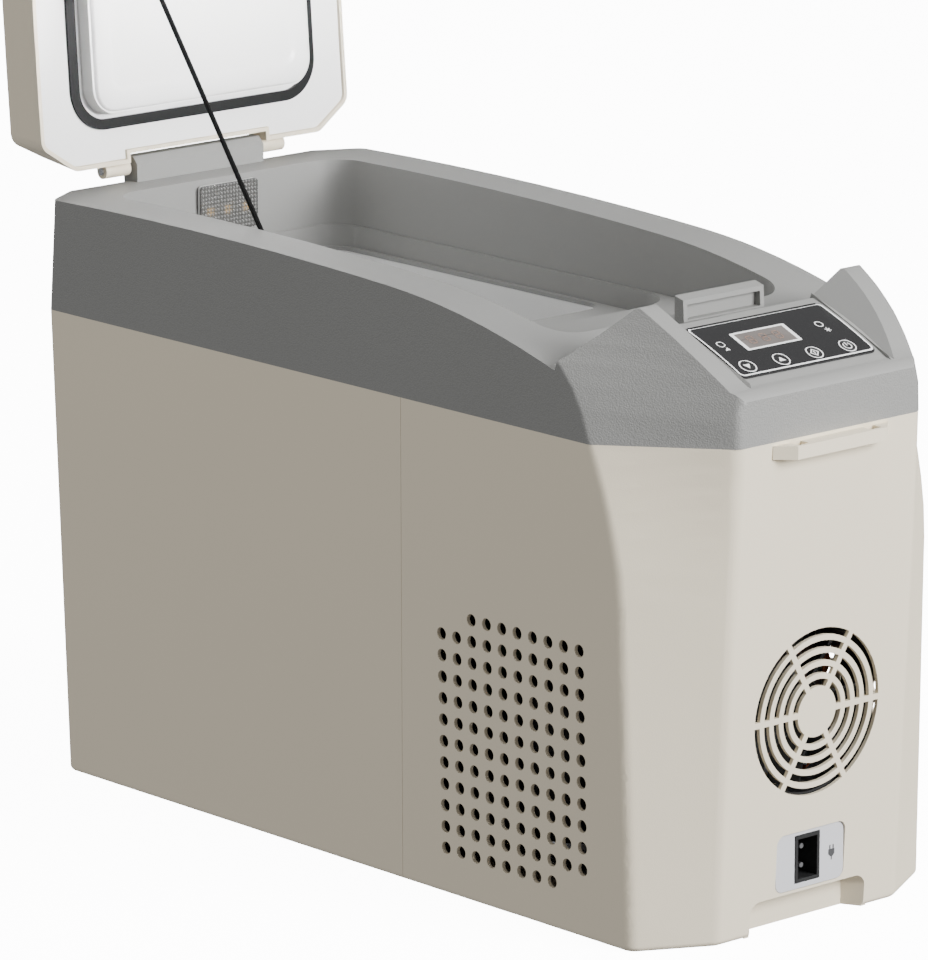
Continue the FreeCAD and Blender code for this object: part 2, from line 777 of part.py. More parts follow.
def ramp_clearance(lift):
    """Room for the console ramp and keeper under the lid's front edge."""
    points = [(183.0, 340.0), (183.0, 357.8 + lift), (215.0, 367.8 + lift), (215.0, 340.0)]
    return profile_solid(points, -97.0, 97.0)


def knuckles():
    back, height = size("hinge_back"), size("hinge_height")
    pieces = []
    for y in (55.4, -76.0):
        barrel = rod(5.0, (back, y, height), (back, y + 20.6, height))
        arm = block(back, -286.0, y, y + 20.6, height, height + 5.0)
        pieces.append(barrel.fuse(arm))
    return pieces


def knuckle_bores():
    back, height = size("hinge_back"), size("hinge_height")
    return rod(size("rod_radius") + size("rod_clearance"), (back, -90, height), (back, 90, height))


def make_lid():
    gap, rise = size("lid_gap"), size("lid_rise")
    shell = lid_slab(0.0, gap, rise)
    shell = shell.cut(lid_slab(2.6, gap - 2.0, rise - 2.6))
    shell = shell.cut(HINGE_GAP)
    inner_notch = lid_slab(0.5, gap, rise - 1.0).common(block(-300, -280.4, -60.4, 60.4, 370, 430))
    shell = shell.fuse(inner_notch.cut(HINGE_GAP))
    shell = shell.fuse(knuckles()).cut(knuckle_bores())
    shell = shell.cut(ramp_clearance(1.2))
    shell = shell.fuse(latch_lugs())
    feature("lid_shell", opened(max(shell.removeSplitter().Solids, key=lambda s: s.Volume)))

    flange = lid_slab(2.8, 2.4, 4.4).cut(block(-320, -280.2, -60.6, 60.6, 370, 430))
    plug_top = plug_solid(0.0, -8.0)
    liner = flange.fuse(plug_top).cut(plug_solid(2.0, -6.0, 6.0))
    liner = liner.cut(ramp_clearance(2.0)).cut(gasket_ring(0.0, 1.0, 3.6))
    feature("lid_liner", opened(max(liner.Solids, key=lambda s: s.Volume)))

    foam = lid_slab(2.9, 4.6, rise - 2.9).cut(block(-320, -280.0, -60.8, 60.8, 370, 430))
    foam = foam.fuse(plug_solid(2.2, -5.8, 5.0)).cut(block(176, 220, -30, 30, 340, 430))
    foam = foam.cut(ramp_clearance(3.0))
    feature("lid_foam", opened(max(foam.Solids, key=lambda s: s.Volume)))
    feature("lid_gasket", opened(gasket_ring(0.0, 0.35, 3.6)))


def plug_solid(inset, low, high=4.4):
    """The raised middle of the liner that dips into the opening."""
    rear, front = size("opening_rear") + 4.5 + inset, size("opening_front") - 4.5 - inset
    half = size("opening_half") - 4.5 - inset
    prism = rounded_box(rear, front, half, 340.0, 420.0, 18.0, 2.5)
    above = under_arch(-320, 215, 200, 330, high)
    below = under_arch(-325, 220, 205, 325, low)
    return prism.common(above.cut(below))


def gasket_ring(clear, low, high):
    """The seal around the plug, following the arched rim."""
    rear, front = size("opening_rear") - 1.6, size("opening_front") + 1.6
    half = size("opening_half") + 1.6
    outer = rounded_box(rear - 3.4, front + 3.4, half + 3.4, 340.0, 420.0, 27.0)
    inner = rounded_box(rear + 3.4, front - 3.4, half - 3.4, 339.0, 421.0, 20.2)
    above = under_arch(-320, 215, 200, 330, high)
    below = under_arch(-325, 220, 205, 325, low)
    return outer.cut(inner).common(above.cut(below))


LATCH_HALF = 18.0
LATCH_X = 203.5
LATCH_Z = 387.0
RELEASED = 30.0


def latch_lugs():
    lugs = []
    for y in (LATCH_HALF + 0.6, -LATCH_HALF - 4.6):
        arm = block(190.5, LATCH_X, y, y + 4.0, LATCH_Z - 4.0, LATCH_Z + 4.0)
        arm = arm.fuse(rod(4.0, (LATCH_X, y, LATCH_Z), (LATCH_X, y + 4.0, LATCH_Z)))
        lugs.append(arm.cut(rod(1.5, (LATCH_X, -40, LATCH_Z), (LATCH_X, 40, LATCH_Z))))
    return lugs


def make_latch():
    """The catch at the lid's front edge, drawn engaged, then swung to its released position."""
    profile = [
        (LATCH_X - 4.0, LATCH_Z + 4.0),
        (LATCH_X + 8.0, LATCH_Z + 4.0),
        (LATCH_X + 11.5, LATCH_Z),
        (LATCH_X + 11.0, 370.6),
        (204.0, 370.6),
        (204.0, 374.6),
        (LATCH_X + 7.6, 375.2),
        (LATCH_X + 7.6, LATCH_Z - 4.0),
        (LATCH_X - 4.0, LATCH_Z - 4.0),
    ]
    catch = profile_solid(profile, -LATCH_HALF, LATCH_HALF)
    catch = catch.cut(rod(1.56, (LATCH_X, -40, LATCH_Z), (LATCH_X, 40, LATCH_Z)))
    catch.rotate(Vector(LATCH_X, 0, LATCH_Z), Vector(0, -1, 0), RELEASED)
    feature("lid_catch", opened(catch))
    pin = rod(1.5, (LATCH_X, -22.6, LATCH_Z), (LATCH_X, 22.6, LATCH_Z))
    feature("catch_pin", opened(pin))


def make_hinge_rod():
    back, height = size("hinge_back"), size("hinge_height")
    obj = doc.addObject("Part::Cylinder", "hinge_rod_bar")
    bind(obj, Radius="Sizes.rod_radius", Height="154")
    obj.Placement = Placement(Vector(back, -77.0, height), Rotation(Vector(1, 0, 0), -90))
    keep(obj, "hinge_rod")


# ---------------------------------------------------------------- stay cord

STAY_LOW = Vector(-103.0, -94.5, 369.5)
STAY_TOP_CLOSED = Vector(-79.5, -84.0, 371.6)


def make_stay():
    """The cord that holds the lid open, from the near inner wall to the lid's plug, pulled straight."""
    top = opened(Part.Vertex(STAY_TOP_CLOSED)).Point
    run = (top - STAY_LOW).normalize()
    radius = size("cord_radius")
    start = STAY_LOW + run * 3.0
    end = top - run * 4.8
    feature("stay_cord", Part.makeCylinder(radius, (end - start).Length, start, run))
    lower = Part.makeCylinder(3.2, 3.0, STAY_LOW, run)
    post = rod(2.6, (STAY_LOW.x, -98.2, STAY_LOW.z - 2.0), (STAY_LOW.x, -93.5, STAY_LOW.z - 2.0))
    lower = lower.fuse(post).cut(collar_wall_slab())
    feature("stay_anchor_lower", max(lower.Solids, key=lambda s: s.Volume))
    upper = Part.makeCylinder(3.2, 4.8, end, run)
    end = STAY_TOP_CLOSED
    seat = opened(rod(3.4, (end.x, end.y, 370.0), (end.x, end.y, 382.0)))
    upper = upper.fuse(seat).cut(opened(plug_solid(0.0, -8.0)))
    feature("stay_anchor_upper", max(upper.Solids, key=lambda s: s.Volume))


def collar_wall_slab():
    return block(-260, 170, -110, -97.1, 330, 400)


# ---------------------------------------------------------------- machine bay

COMP_X, COMP_Y = 118.0, -30.0
COMP_R = 50.0


def tube(points, radius, bend):
    """A round tube along straight runs joined by tangent arcs."""
    route = [Vector(*p) for p in points]
    edges = []
    last = route[0]
    for before, corner, after in zip(route, route[1:], route[2:]):
        u = (before - corner).normalize()
        v = (after - corner).normalize()
        half = u.getAngle(v) / 2
        reach = bend / math.tan(half)
        start, end = corner + u * reach, corner + v * reach
        middle = corner + (u + v).normalize() * (bend / math.sin(half) - bend)
        edges.append(Part.LineSegment(last, start).toShape())
        edges.append(Part.Arc(start, middle, end).toShape())
        last = end
    edges.append(Part.LineSegment(last, route[-1]).toShape())
    path = Part.Wire(edges)
    ring = Part.Wire(Part.makeCircle(radius, route[0], route[1] - route[0]))
    return path.makePipeShell([ring], True, False)


def make_compressor():
    low, high = 30.0, 150.0
    outline = [
        Vector(0, 0, low),
        Vector(COMP_R - 12, 0, low),
        Vector(COMP_R, 0, low + 12),
        Vector(COMP_R, 0, high - 22),
        Vector(COMP_R - 18, 0, high - 4),
        Vector(0, 0, high),
    ]
    half_section = Part.Face(Part.makePolygon(outline + outline[:1]))
    shell = half_section.revolve(Vector(0, 0, 0), Vector(0, 0, 1), 360)
    weld = rod(COMP_R + 2.0, (0, 0, 88.0), (0, 0, 92.0))
    motor_room = rod(COMP_R - 9.0, (0, 0, low + 12.0), (0, 0, high - 24.0))
    shell = shell.fuse(weld).cut(motor_room)
    shell.translate(Vector(COMP_X, COMP_Y, 0))
    feature("compressor_shell", shell)
    cover = block(COMP_X - 20, COMP_X + 20, COMP_Y + COMP_R + 2.3, COMP_Y + COMP_R + 24, 55.0, 84.0)
    feature("terminal_cover", cover)
    legs = doc.addObject("Part::Box", "bracket_plate")
    bind(legs, Length="150", Width="120", Height="3")
    legs.Placement = Placement(Vector(COMP_X - 75, COMP_Y - 60, 24.0), Rotation())
    holes = []
    for x, y in mount_spots():
        hole = doc.addObject("Part::Cylinder", "bracket_hole")
        bind(hole, Radius="5", Height="10")
        hole.Placement = Placement(Vector(x, y, 20.0), Rotation())
        holes.append(hole)
    drilled = doc.addObject("Part::MultiFuse", "bracket_holes")
    drilled.Shapes = holes
    bracket = doc.addObject("Part::Cut", "bracket")
    bracket.Base = legs
    bracket.Tool = drilled
    keep(bracket, "compressor_bracket")
    ring = doc.addObject("PartDesign::Body", "saddle_ring")
    saddle = pad_ring(ring, 36.0, 30.0, 3.0)
    ring.Placement = Placement(Vector(COMP_X, COMP_Y, 27.0), Rotation())
    keep(ring, "compressor_saddle")
    grommets = [rod(8.0, (x, y, 5.0), (x, y, 23.9)) for x, y in mount_spots()]
    grommets = [g.cut(rod(2.6, (x, y, 4), (x, y, 30))) for g, (x, y) in zip(grommets, mount_spots())]
    feature("compressor_grommets", Part.makeCompound(grommets))
    bolts = []
    for x, y in mount_spots():
        shank = rod(2.5, (x, y, 5.0), (x, y, 27.2))
        bolts.append(shank.fuse(rod(6.2, (x, y, 27.2), (x, y, 31.0))))
    feature("compressor_bolts", Part.makeCompound(bolts))


def mount_spots():
    return [(COMP_X + dx, COMP_Y + dy) for dx in (-64.0, 64.0) for dy in (-50.0, 50.0)]


def pad_ring(body, outer, inner, height):
    """A flat ring: a sketch of two circles, padded."""
    sketch = body.newObject("Sketcher::SketchObject", body.Name + "_sketch")
    plane = [f for f in body.Origin.OriginFeatures if f.Role == "XY_Plane"][0]
    sketch.AttachmentSupport = [(plane, "")]
    sketch.MapMode = "FlatFace"
    centre = Vector(0, 0, 0)
    radii = [outer, inner] if inner else [outer]
    for i, radius in enumerate(radii):
        sketch.addGeometry(Part.Circle(centre, Vector(0, 0, 1), radius), False)
        sketch.addConstraint(Sketcher.Constraint("Coincident", i, 3, -1, 1))
        sketch.addConstraint(Sketcher.Constraint("Radius", i, radius))
    pad = body.newObject("PartDesign::Pad", body.Name + "_pad")
    pad.Profile = sketch
    pad.Length = height
    return pad


def make_feet():
    """Four rubber feet, each a disc with a plug through the housing's bottom."""
    feet = []
    for x, y in FOOT_PLACES:
        disc = rod(size("foot_radius"), (x, y, 0.0), (x, y, 1.6))
        feet.append(disc.fuse(rod(3.9, (x, y, 1.6), (x, y, 6.0))))
    feature("rubber_feet", Part.makeCompound(feet))
    screws = []
    for x, y in SCREW_PLACES:
        shank = rod(2.0, (x, y, 0.8), (x, y, 8.0))
        screws.append(shank.fuse(rod(4.0, (x, y, 3.5), (x, y, 5.5))))
    feature("base_screws", Part.makeCompound(screws))


def make_condenser():
    rows = 5
    pitch = 20.0
    base = size("fan_height") - pitch * (rows - 1) / 2
    x = 236.0
    reach = 52.0
    edges = []
    for row in range(rows):
        z = base + row * pitch
        side = 1 if row % 2 == 0 else -1
        edges.append(Part.LineSegment(Vector(x, -reach * side, z), Vector(x, reach * side, z)).toShape())
        if row < rows - 1:
            start, end = Vector(x, reach * side, z), Vector(x, reach * side, z + pitch)
            bulge = Vector(x, (reach + pitch / 2) * side, z + pitch / 2)
            edges.append(Part.Arc(start, bulge, end).toShape())
    ring = Part.Wire(Part.makeCircle(3.0, Vector(x, -reach, base), Vector(0, 1, 0)))
    coil = Part.Wire(edges).makePipeShell([ring], True, False)
    feature("condenser_coil", coil)
    holes = [rod(3.15, (x, -80, base + r * pitch), (x, 80, base + r * pitch)) for r in range(rows)]
    drill = Part.makeCompound(holes)
    fins = []
    for i in range(17):
        y = -48.0 + 6.0 * i
        fin = block(x - 11.0, x + 11.0, y - 0.3, y + 0.3, base - 10.0, base + pitch * rows - 10.0)
        fins.append(fin.cut(drill))
    feature("condenser_fins", Part.makeCompound(fins))


FAN_BACK, FAN_FRONT = 260.0, 284.0


def make_fan():
    height = size("fan_height")
    half = 55.0
    frame = rounded_recess(FAN_BACK, FAN_FRONT, -half, half, height - half, height + half, 5.0)
    frame = frame.cut(rod(51.5, (FAN_BACK - 1, 0, height), (FAN_FRONT + 1, 0, height)))
    waist = [block(FAN_BACK + 4, FAN_FRONT - 4, a - 16, a + 16, b - 16, b + 16)
             for a in (-half, half) for b in (height - half, height + half)]
    frame = frame.cut(Part.makeCompound(waist))
    struts = []
    for turn in range(4):
        bar = block(FAN_BACK, FAN_BACK + 3.0, 15.0, 52.5, height - 2.0, height + 2.0)
        bar.rotate(Vector(0, 0, height), Vector(1, 0, 0), 90 * turn + 45)
        struts.append(bar)
    seat = rod(17.0, (FAN_BACK, 0, height), (FAN_BACK + 3.5, 0, height))
    spindle = rod(1.5, (FAN_BACK + 3.5, 0, height), (FAN_BACK + 14.0, 0, height))
    frame = frame.fuse(struts + [seat, spindle])
    holes = []
    for a in (-45.0, 45.0):
        for b in (-45.0, 45.0):
            holes.append(rod(2.2, (FAN_BACK - 1, a, height + b), (FAN_FRONT + 1, a, height + b)))
    feature("fan_frame", frame.cut(Part.makeCompound(holes)))
    hub = rod(16.0, (FAN_BACK + 4.5, 0, height), (FAN_FRONT - 4.0, 0, height))
    hub = hub.cut(rod(1.56, (FAN_BACK, 0, height), (FAN_BACK + 15.0, 0, height)))
    blades = []
    for turn in range(7):
        blade = block(-1.0, 1.0, 14.5, 49.0, -11.0, 11.0)
        blade.rotate(Vector(0, 0, 0), Vector(0, 1, 0), 52.0)
        blade.translate(Vector((FAN_BACK + FAN_FRONT) / 2, 0, 0))
        blade = blade.common(block(FAN_BACK + 5.5, FAN_FRONT - 3.0, 0, 60, -30, 30))
        blade.rotate(Vector(0, 0, 0), Vector(1, 0, 0), 360.0 * turn / 7)
        blade.translate(Vector(0, 0, height))
        blades.append(blade)
    feature("fan_rotor", hub.fuse(blades))
    screws = []
    for a in (-45.0, 45.0):
        for b in (-45.0, 45.0):
            shank = rod(2.0, (FAN_BACK - 0.1, a, height + b), (FAN_FRONT + 1.0, a, height + b))
            head = rod(3.6, (FAN_BACK - 2.5, a, height + b), (FAN_BACK - 0.1, a, height + b))
            screws.append(shank.fuse(head))
    feature("fan_screws", Part.makeCompound(screws))


def make_inlet():
    plate_x = front_plane_x(42.0) - 1.6
    plate = rounded_recess(plate_x, plate_x + 1.0, -28.3, 29.6, 23.5, 59.8, 5.8)
    plate = plate.cut(block(plate_x - 1, plate_x + 2, -12.1, 9.1, 26.9, 57.1))
    feature("inlet_plate", plate)
    socket = block(plate_x - 20.0, plate_x + 1.4, -11.8, 8.8, 27.2, 56.8)
    cavity = block(plate_x - 17.0, plate_x + 3.0, -9.6, 6.6, 29.4, 54.6)
    pin_holes = [rod(1.6, (plate_x - 24, -1.5, z), (plate_x - 10, -1.5, z)) for z in (36.0, 48.0)]
    feature("power_socket", socket.cut(cavity).cut(Part.makeCompound(pin_holes)))
    pins = [rod(1.6, (plate_x - 23.0, -1.5, z), (plate_x - 4.0, -1.5, z)) for z in (36.0, 48.0)]
    feature("socket_pins", Part.makeCompound(pins))


def make_plumbing():
    drier = rod(9.0, (205.0, 85.0, 40.0), (205.0, 85.0, 105.0))
    feature("filter_drier", drier)
    suction = [
        (42.4, 60.0, 240.0),
        (80.0, 60.0, 240.0),
        (80.0, 60.0, 175.0),
        (110.0, -30.0, 175.0),
        (110.0, -30.0, 149.6),
    ]
    feature("suction_pipe", tube(suction, 4.0, 12.0))
    discharge = [
        (168.4, -30.0, 110.0),
        (185.0, -30.0, 110.0),
        (185.0, -75.0, 94.5),
        (236.0, -75.0, 94.5),
        (236.0, -52.3, 94.5),
    ]
    feature("discharge_pipe", tube(discharge, 3.0, 7.0))
    liquid = [(236.0, 52.3, 174.5), (236.0, 85.0, 174.5), (205.0, 85.0, 174.5), (205.0, 85.0, 105.2)]
    feature("liquid_pipe", tube(liquid, 2.5, 10.0))
    capillary = [
        (205.0, 85.0, 39.8),
        (205.0, 85.0, 25.0),
        (205.0, 105.0, 25.0),
        (60.0, 105.0, 25.0),
        (60.0, 105.0, 225.0),
        (42.4, 105.0, 225.0),
    ]
    feature("capillary_tube", tube(capillary, 1.2, 6.0))


def make_electronics():
    board = doc.addObject("PartDesign::Body", "driver_board_body")
    pad_rectangle(board, 70.0, 110.0, "Sizes.board_thick")
    board.Placement = Placement(Vector(47.0, 0.0, 130.0), Rotation(Vector(0, 1, 0), 90))
    keep(board, "driver_board")
    stands = [rod(3.0, (42.2, y, z), (47.0, y, z)) for y in (-50.0, 50.0) for z in (100.0, 160.0)]
    feature("board_standoffs", Part.makeCompound(stands))
    base = block(48.8, 52.0, 20.0, 50.0, 105.0, 155.0)
    fins = [block(52.0, 62.0, y, y + 1.5, 105.0, 155.0) for y in (20.0, 27.0, 34.0, 41.0, 48.5)]
    feature("heat_sink", base.fuse(fins))
    caps = [rod(6.0, (48.8, y, 145.0), (62.0, y, 145.0)) for y in (-40.0, -22.0)]
    feature("board_capacitors", Part.makeCompound(caps))


def pad_rectangle(body, width, depth, thickness):
    """A plate: a sketched rectangle centred on the body's origin, padded."""
    sketch = body.newObject("Sketcher::SketchObject", body.Name + "_sketch")
    plane = [f for f in body.Origin.OriginFeatures if f.Role == "XY_Plane"][0]
    sketch.AttachmentSupport = [(plane, "")]
    sketch.MapMode = "FlatFace"
    a, b = width / 2, depth / 2
    corners = [Vector(-a, -b, 0), Vector(a, -b, 0), Vector(a, b, 0), Vector(-a, b, 0)]
    for i, corner in enumerate(corners):
        sketch.addGeometry(Part.LineSegment(corner, corners[(i + 1) % 4]), False)
    for i in range(4):
        sketch.addConstraint(Sketcher.Constraint("Coincident", i, 2, (i + 1) % 4, 1))
    for line, kind in ((0, "Horizontal"), (2, "Horizontal"), (1, "Vertical"), (3, "Vertical")):
        sketch.addConstraint(Sketcher.Constraint(kind, line))
    sketch.addConstraint(Sketcher.Constraint("Symmetric", 0, 1, 1, 2, -1, 1))
    sketch.addConstraint(Sketcher.Constraint("DistanceX", 0, 1, 0, 2, width))
    sketch.addConstraint(Sketcher.Constraint("DistanceY", 1, 1, 1, 2, depth))
    pad = body.newObject("PartDesign::Pad", body.Name + "_pad")
    pad.Profile = sketch
    pad.setExpression("Length", thickness)
    return pad


make_housings()
make_collar()
make_panel()
make_keeper()
make_lamp()
make_tank()
make_lid()
make_latch()
make_hinge_rod()
make_stay()
make_compressor()
make_feet()
make_condenser()
make_fan()
make_inlet()
make_plumbing()
make_electronics()
doc.recompute()

# ---------------------------------------------------------------- checks and export

for obj in doc.Objects:
    faults = [state for state in obj.State if state in ("Invalid", "Error")]
    if faults:
        raise RuntimeError(f"{obj.Label} is {faults}")
for obj in PARTS:
    if obj.Shape.isNull() or not obj.Shape.isValid():
        raise RuntimeError(f"{obj.Label} has no valid shape")

os.makedirs("parts", exist_ok=True)
for obj in PARTS:
    obj.Shape.exportStep(f"parts/{obj.Label}.step")
    print(obj.Label, len(obj.Shape.Solids), round(obj.Shape.Volume))
print(len(PARTS), "sub-parts")
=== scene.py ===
import math

import bpy
from mathutils import Matrix, Vector
from mathutils.bvhtree import BVHTree
from mathutils.geometry import delaunay_2d_cdt


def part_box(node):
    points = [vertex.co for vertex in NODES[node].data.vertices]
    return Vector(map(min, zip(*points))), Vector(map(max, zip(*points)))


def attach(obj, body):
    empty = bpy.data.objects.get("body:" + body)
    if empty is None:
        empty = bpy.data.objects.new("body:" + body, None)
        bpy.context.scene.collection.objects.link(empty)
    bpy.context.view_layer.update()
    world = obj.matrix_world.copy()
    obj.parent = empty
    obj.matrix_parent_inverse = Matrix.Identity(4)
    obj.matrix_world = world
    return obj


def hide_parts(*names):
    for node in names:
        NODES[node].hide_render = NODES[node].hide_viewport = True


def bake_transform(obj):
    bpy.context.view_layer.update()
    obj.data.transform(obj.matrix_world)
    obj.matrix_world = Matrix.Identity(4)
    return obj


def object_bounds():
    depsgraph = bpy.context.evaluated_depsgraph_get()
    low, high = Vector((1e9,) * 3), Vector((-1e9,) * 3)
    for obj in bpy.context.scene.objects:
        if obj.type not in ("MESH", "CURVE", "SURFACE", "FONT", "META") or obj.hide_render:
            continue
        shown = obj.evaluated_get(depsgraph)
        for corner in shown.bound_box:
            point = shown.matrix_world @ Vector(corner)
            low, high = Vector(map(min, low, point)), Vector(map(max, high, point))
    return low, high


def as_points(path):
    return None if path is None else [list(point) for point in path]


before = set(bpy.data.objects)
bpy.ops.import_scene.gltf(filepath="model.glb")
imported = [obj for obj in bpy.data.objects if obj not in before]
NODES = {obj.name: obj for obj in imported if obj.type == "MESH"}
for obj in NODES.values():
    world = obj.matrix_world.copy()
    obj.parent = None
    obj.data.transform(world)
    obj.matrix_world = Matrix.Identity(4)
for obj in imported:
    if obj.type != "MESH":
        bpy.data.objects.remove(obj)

CAD_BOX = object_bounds()
MM = 0.001


# ---------------------------------------------------------------- camera, light, floor

CAMERA_AZIMUTH = 47.95
CAMERA_ELEVATION = 13.66
CAMERA_PLACE = Vector((3.1195, -2.8379, 1.2506))
CAMERA_LENS = 258.0
CAMERA_SENSOR = 36.0
CAMERA_REACH = 80.0

WORLD_STRENGTH = 0.32
# name, place, target, width, height, watts, beam in degrees
LIGHTS = (
    ("key", (3.0, 0.9, 1.5), (0, 0, 0.2), 1.6, 1.6, 235, 180.0),
    ("top", (0.2, 0.3, 3.0), (0, 0, 0.3), 2.2, 2.2, 50, 180.0),
    ("fill", (-0.6, -3.2, 1.2), (0, 0, 0.2), 2.2, 1.6, 24, 180.0),
    ("lid", (2.4, 0.6, 1.1), (-0.3, 0, 0.86), 0.4, 0.4, 15, 14.0),
)

FLOOR_REACH = 20.0
FLOOR_GLOW = 12.0


def make_camera():
    azimuth = math.radians(CAMERA_AZIMUTH)
    elevation = math.radians(CAMERA_ELEVATION)
    data = bpy.data.cameras.new("camera")
    data.lens = CAMERA_LENS
    data.sensor_width = CAMERA_SENSOR
    data.sensor_fit = "VERTICAL"
    data.sensor_height = CAMERA_SENSOR
    data.clip_end = CAMERA_REACH
    camera = bpy.data.objects.new("camera", data)
    bpy.context.scene.collection.objects.link(camera)
    flat = math.cos(elevation)
    back = Vector((math.sin(azimuth) * flat, -math.cos(azimuth) * flat, math.sin(elevation)))
    right = Vector((math.cos(azimuth), math.sin(azimuth), 0.0))
    turn = Matrix((right, back.cross(right), back)).transposed().to_4x4()
    camera.matrix_world = Matrix.Translation(CAMERA_PLACE) @ turn
    bpy.context.scene.camera = camera


def area_light(name, place, target, width, height, power, beam):
    data = bpy.data.lights.new(name, "AREA")
    data.spread = math.radians(beam)
    data.shape = "RECTANGLE"
    data.size = width
    data.size_y = height
    data.energy = power
    lamp = bpy.data.objects.new(name, data)
    bpy.context.scene.collection.objects.link(lamp)
    lamp.location = place
    lamp.rotation_euler = (Vector(target) - Vector(place)).to_track_quat("-Z", "Y").to_euler()


def make_lights():
    world = bpy.data.worlds.new("studio")
    bpy.context.scene.world = world
    world.use_nodes = True
    background = world.node_tree.nodes["Background"]
    background.inputs["Color"].default_value = (1, 1, 1, 1)
    background.inputs["Strength"].default_value = WORLD_STRENGTH
    for light in LIGHTS:
        area_light(*light)


def make_floor():
    """A white ground that glows for the camera only, so that it lights nothing."""
    mesh = bpy.data.meshes.new("floor")
    ground = CAD_BOX[0][2]
    corners = [(-1, -1), (1, -1), (1, 1), (-1, 1)]
    mesh.from_pydata([(x * FLOOR_REACH, y * FLOOR_REACH, ground) for x, y in corners], [], [(0, 1, 2, 3)])
    floor = bpy.data.objects.new("floor", mesh)
    bpy.context.scene.collection.objects.link(floor)
    floor.visible_diffuse = False
    floor.visible_glossy = False
    floor.visible_transmission = False
    white = surface("floor_white", (0.93, 0.93, 0.93), 0.9)
    shader = white.node_tree.nodes["Principled BSDF"]
    shader.inputs["Emission Color"].default_value = (1, 1, 1, 1)
    shader.inputs["Emission Strength"].default_value = FLOOR_GLOW
    mesh.materials.append(white)


# ---------------------------------------------------------------- shader nodes


def srgb(r, g, b):
    """Linear colour of an 8-bit sRGB one."""
    out = []
    for value in (r, g, b):
        v = value / 255
        out.append(v / 12.92 if v <= 0.04045 else ((v + 0.055) / 1.055) ** 2.4)
    return tuple(out)


def link(tree, source, target):
    tree.links.new(source, target)


def object_place(tree):
    return tree.nodes.new("ShaderNodeTexCoord").outputs["Object"]


def noise(tree, place, scale, detail):
    node = tree.nodes.new("ShaderNodeTexNoise")
    node.inputs["Scale"].default_value = scale
    node.inputs["Detail"].default_value = detail
    link(tree, place, node.inputs["Vector"])
    return node.outputs["Fac"]


def maths(tree, operation, a, b):
    node = tree.nodes.new("ShaderNodeMath")
    node.operation = operation
    for socket, value in zip(node.inputs, (a, b)):
        if isinstance(value, (int, float)):
            socket.default_value = value
        else:
            link(tree, value, socket)
    return node.outputs["Value"]


def spread(tree, value, low, high, start=0.0, end=1.0):
    """Maps start..end of a value to low..high."""
    node = tree.nodes.new("ShaderNodeMapRange")
    node.inputs["From Min"].default_value = start
    node.inputs["From Max"].default_value = end
    node.inputs["To Min"].default_value = low
    node.inputs["To Max"].default_value = high
    link(tree, value, node.inputs["Value"])
    return node.outputs["Result"]


def blend_colour(tree, factor, a, b):
    node = tree.nodes.new("ShaderNodeMix")
    node.data_type = "RGBA"
    link(tree, factor, node.inputs["Factor"])
    for name, value in (("A", a), ("B", b)):
        if isinstance(value, tuple):
            node.inputs[name].default_value = (*value, 1)
        else:
            link(tree, value, node.inputs[name])
    return node.outputs["Result"]


def split_vector(tree, vector):
    node = tree.nodes.new("ShaderNodeSeparateXYZ")
    link(tree, vector, node.inputs["Vector"])
    return node.outputs


def add_bump(tree, height, strength, distance):
    bump = tree.nodes.new("ShaderNodeBump")
    bump.inputs["Strength"].default_value = strength
    bump.inputs["Distance"].default_value = distance
    link(tree, height, bump.inputs["Height"])
    return bump.outputs["Normal"]


# ---------------------------------------------------------------- materials

DRIFT_SCALE = 9.0
DRIFT_DETAIL = 4.0
GRAIN_DETAIL = 3.0
GRAIN_DEPTH = 0.0003
GLOSS_SWING = 0.06
GLOSSIEST = 0.03

# where the collar's leather grain starts and is full
WALL_FACING = (0.2, 0.4)
FRONT_FACING = (0.75, 0.95)
FRONT_EDGE = (0.288, 0.292)
PEBBLE_SCALE = 950.0
PEBBLE_SMOOTHNESS = 0.35
PEBBLE_HEIGHT = (0.1, 0.75)
WARP_SCALE = 260.0
WARP_REACH = 0.0012
FINE_SCALE = 1500.0
FINE_SHARE = 0.35
PEBBLE_DEPTH = 0.00025
# painted shade in the grain's creases: the largest share of darker grey, and the crease depth where it
# starts
CREASE_WIDTH = 0.16
CREASE_SHADE = 0.3

RIPPLE_SCALE = 26.0
RIPPLE_STRENGTH = 0.12
RIPPLE_DEPTH = 0.001
PRISM_SCALE = 120.0
PRISM_DEPTH = 0.0008
YARNS_ROUND = 8
YARNS_PER_METRE = 95
YARN_DEPTH = 0.0002
SMOKE_SCALE = 60.0


def surface(name, colour, roughness, grain=0.0, scale=1400.0, variation=0.03, metallic=0.0, specular=0.5):
    """A moulded or metal surface: slow colour drift, uneven gloss and a fine bump."""
    material = bpy.data.materials.new(name)
    material.use_nodes = True
    tree = material.node_tree
    shader = tree.nodes["Principled BSDF"]
    shader.inputs["Metallic"].default_value = metallic
    shader.inputs["Specular IOR Level"].default_value = specular
    place = object_place(tree)
    dark = tuple(c * (1 - variation) for c in colour)
    light = tuple(min(c * (1 + variation), 1) for c in colour)
    drift = noise(tree, place, DRIFT_SCALE, DRIFT_DETAIL)
    link(tree, blend_colour(tree, drift, dark, light), shader.inputs["Base Color"])
    fine = noise(tree, place, scale, GRAIN_DETAIL)
    low = max(roughness - GLOSS_SWING, GLOSSIEST)
    high = min(roughness + GLOSS_SWING, 1.0)
    link(tree, spread(tree, fine, low, high), shader.inputs["Roughness"])
    if grain:
        link(tree, add_bump(tree, fine, grain, GRAIN_DEPTH), shader.inputs["Normal"])
    return material


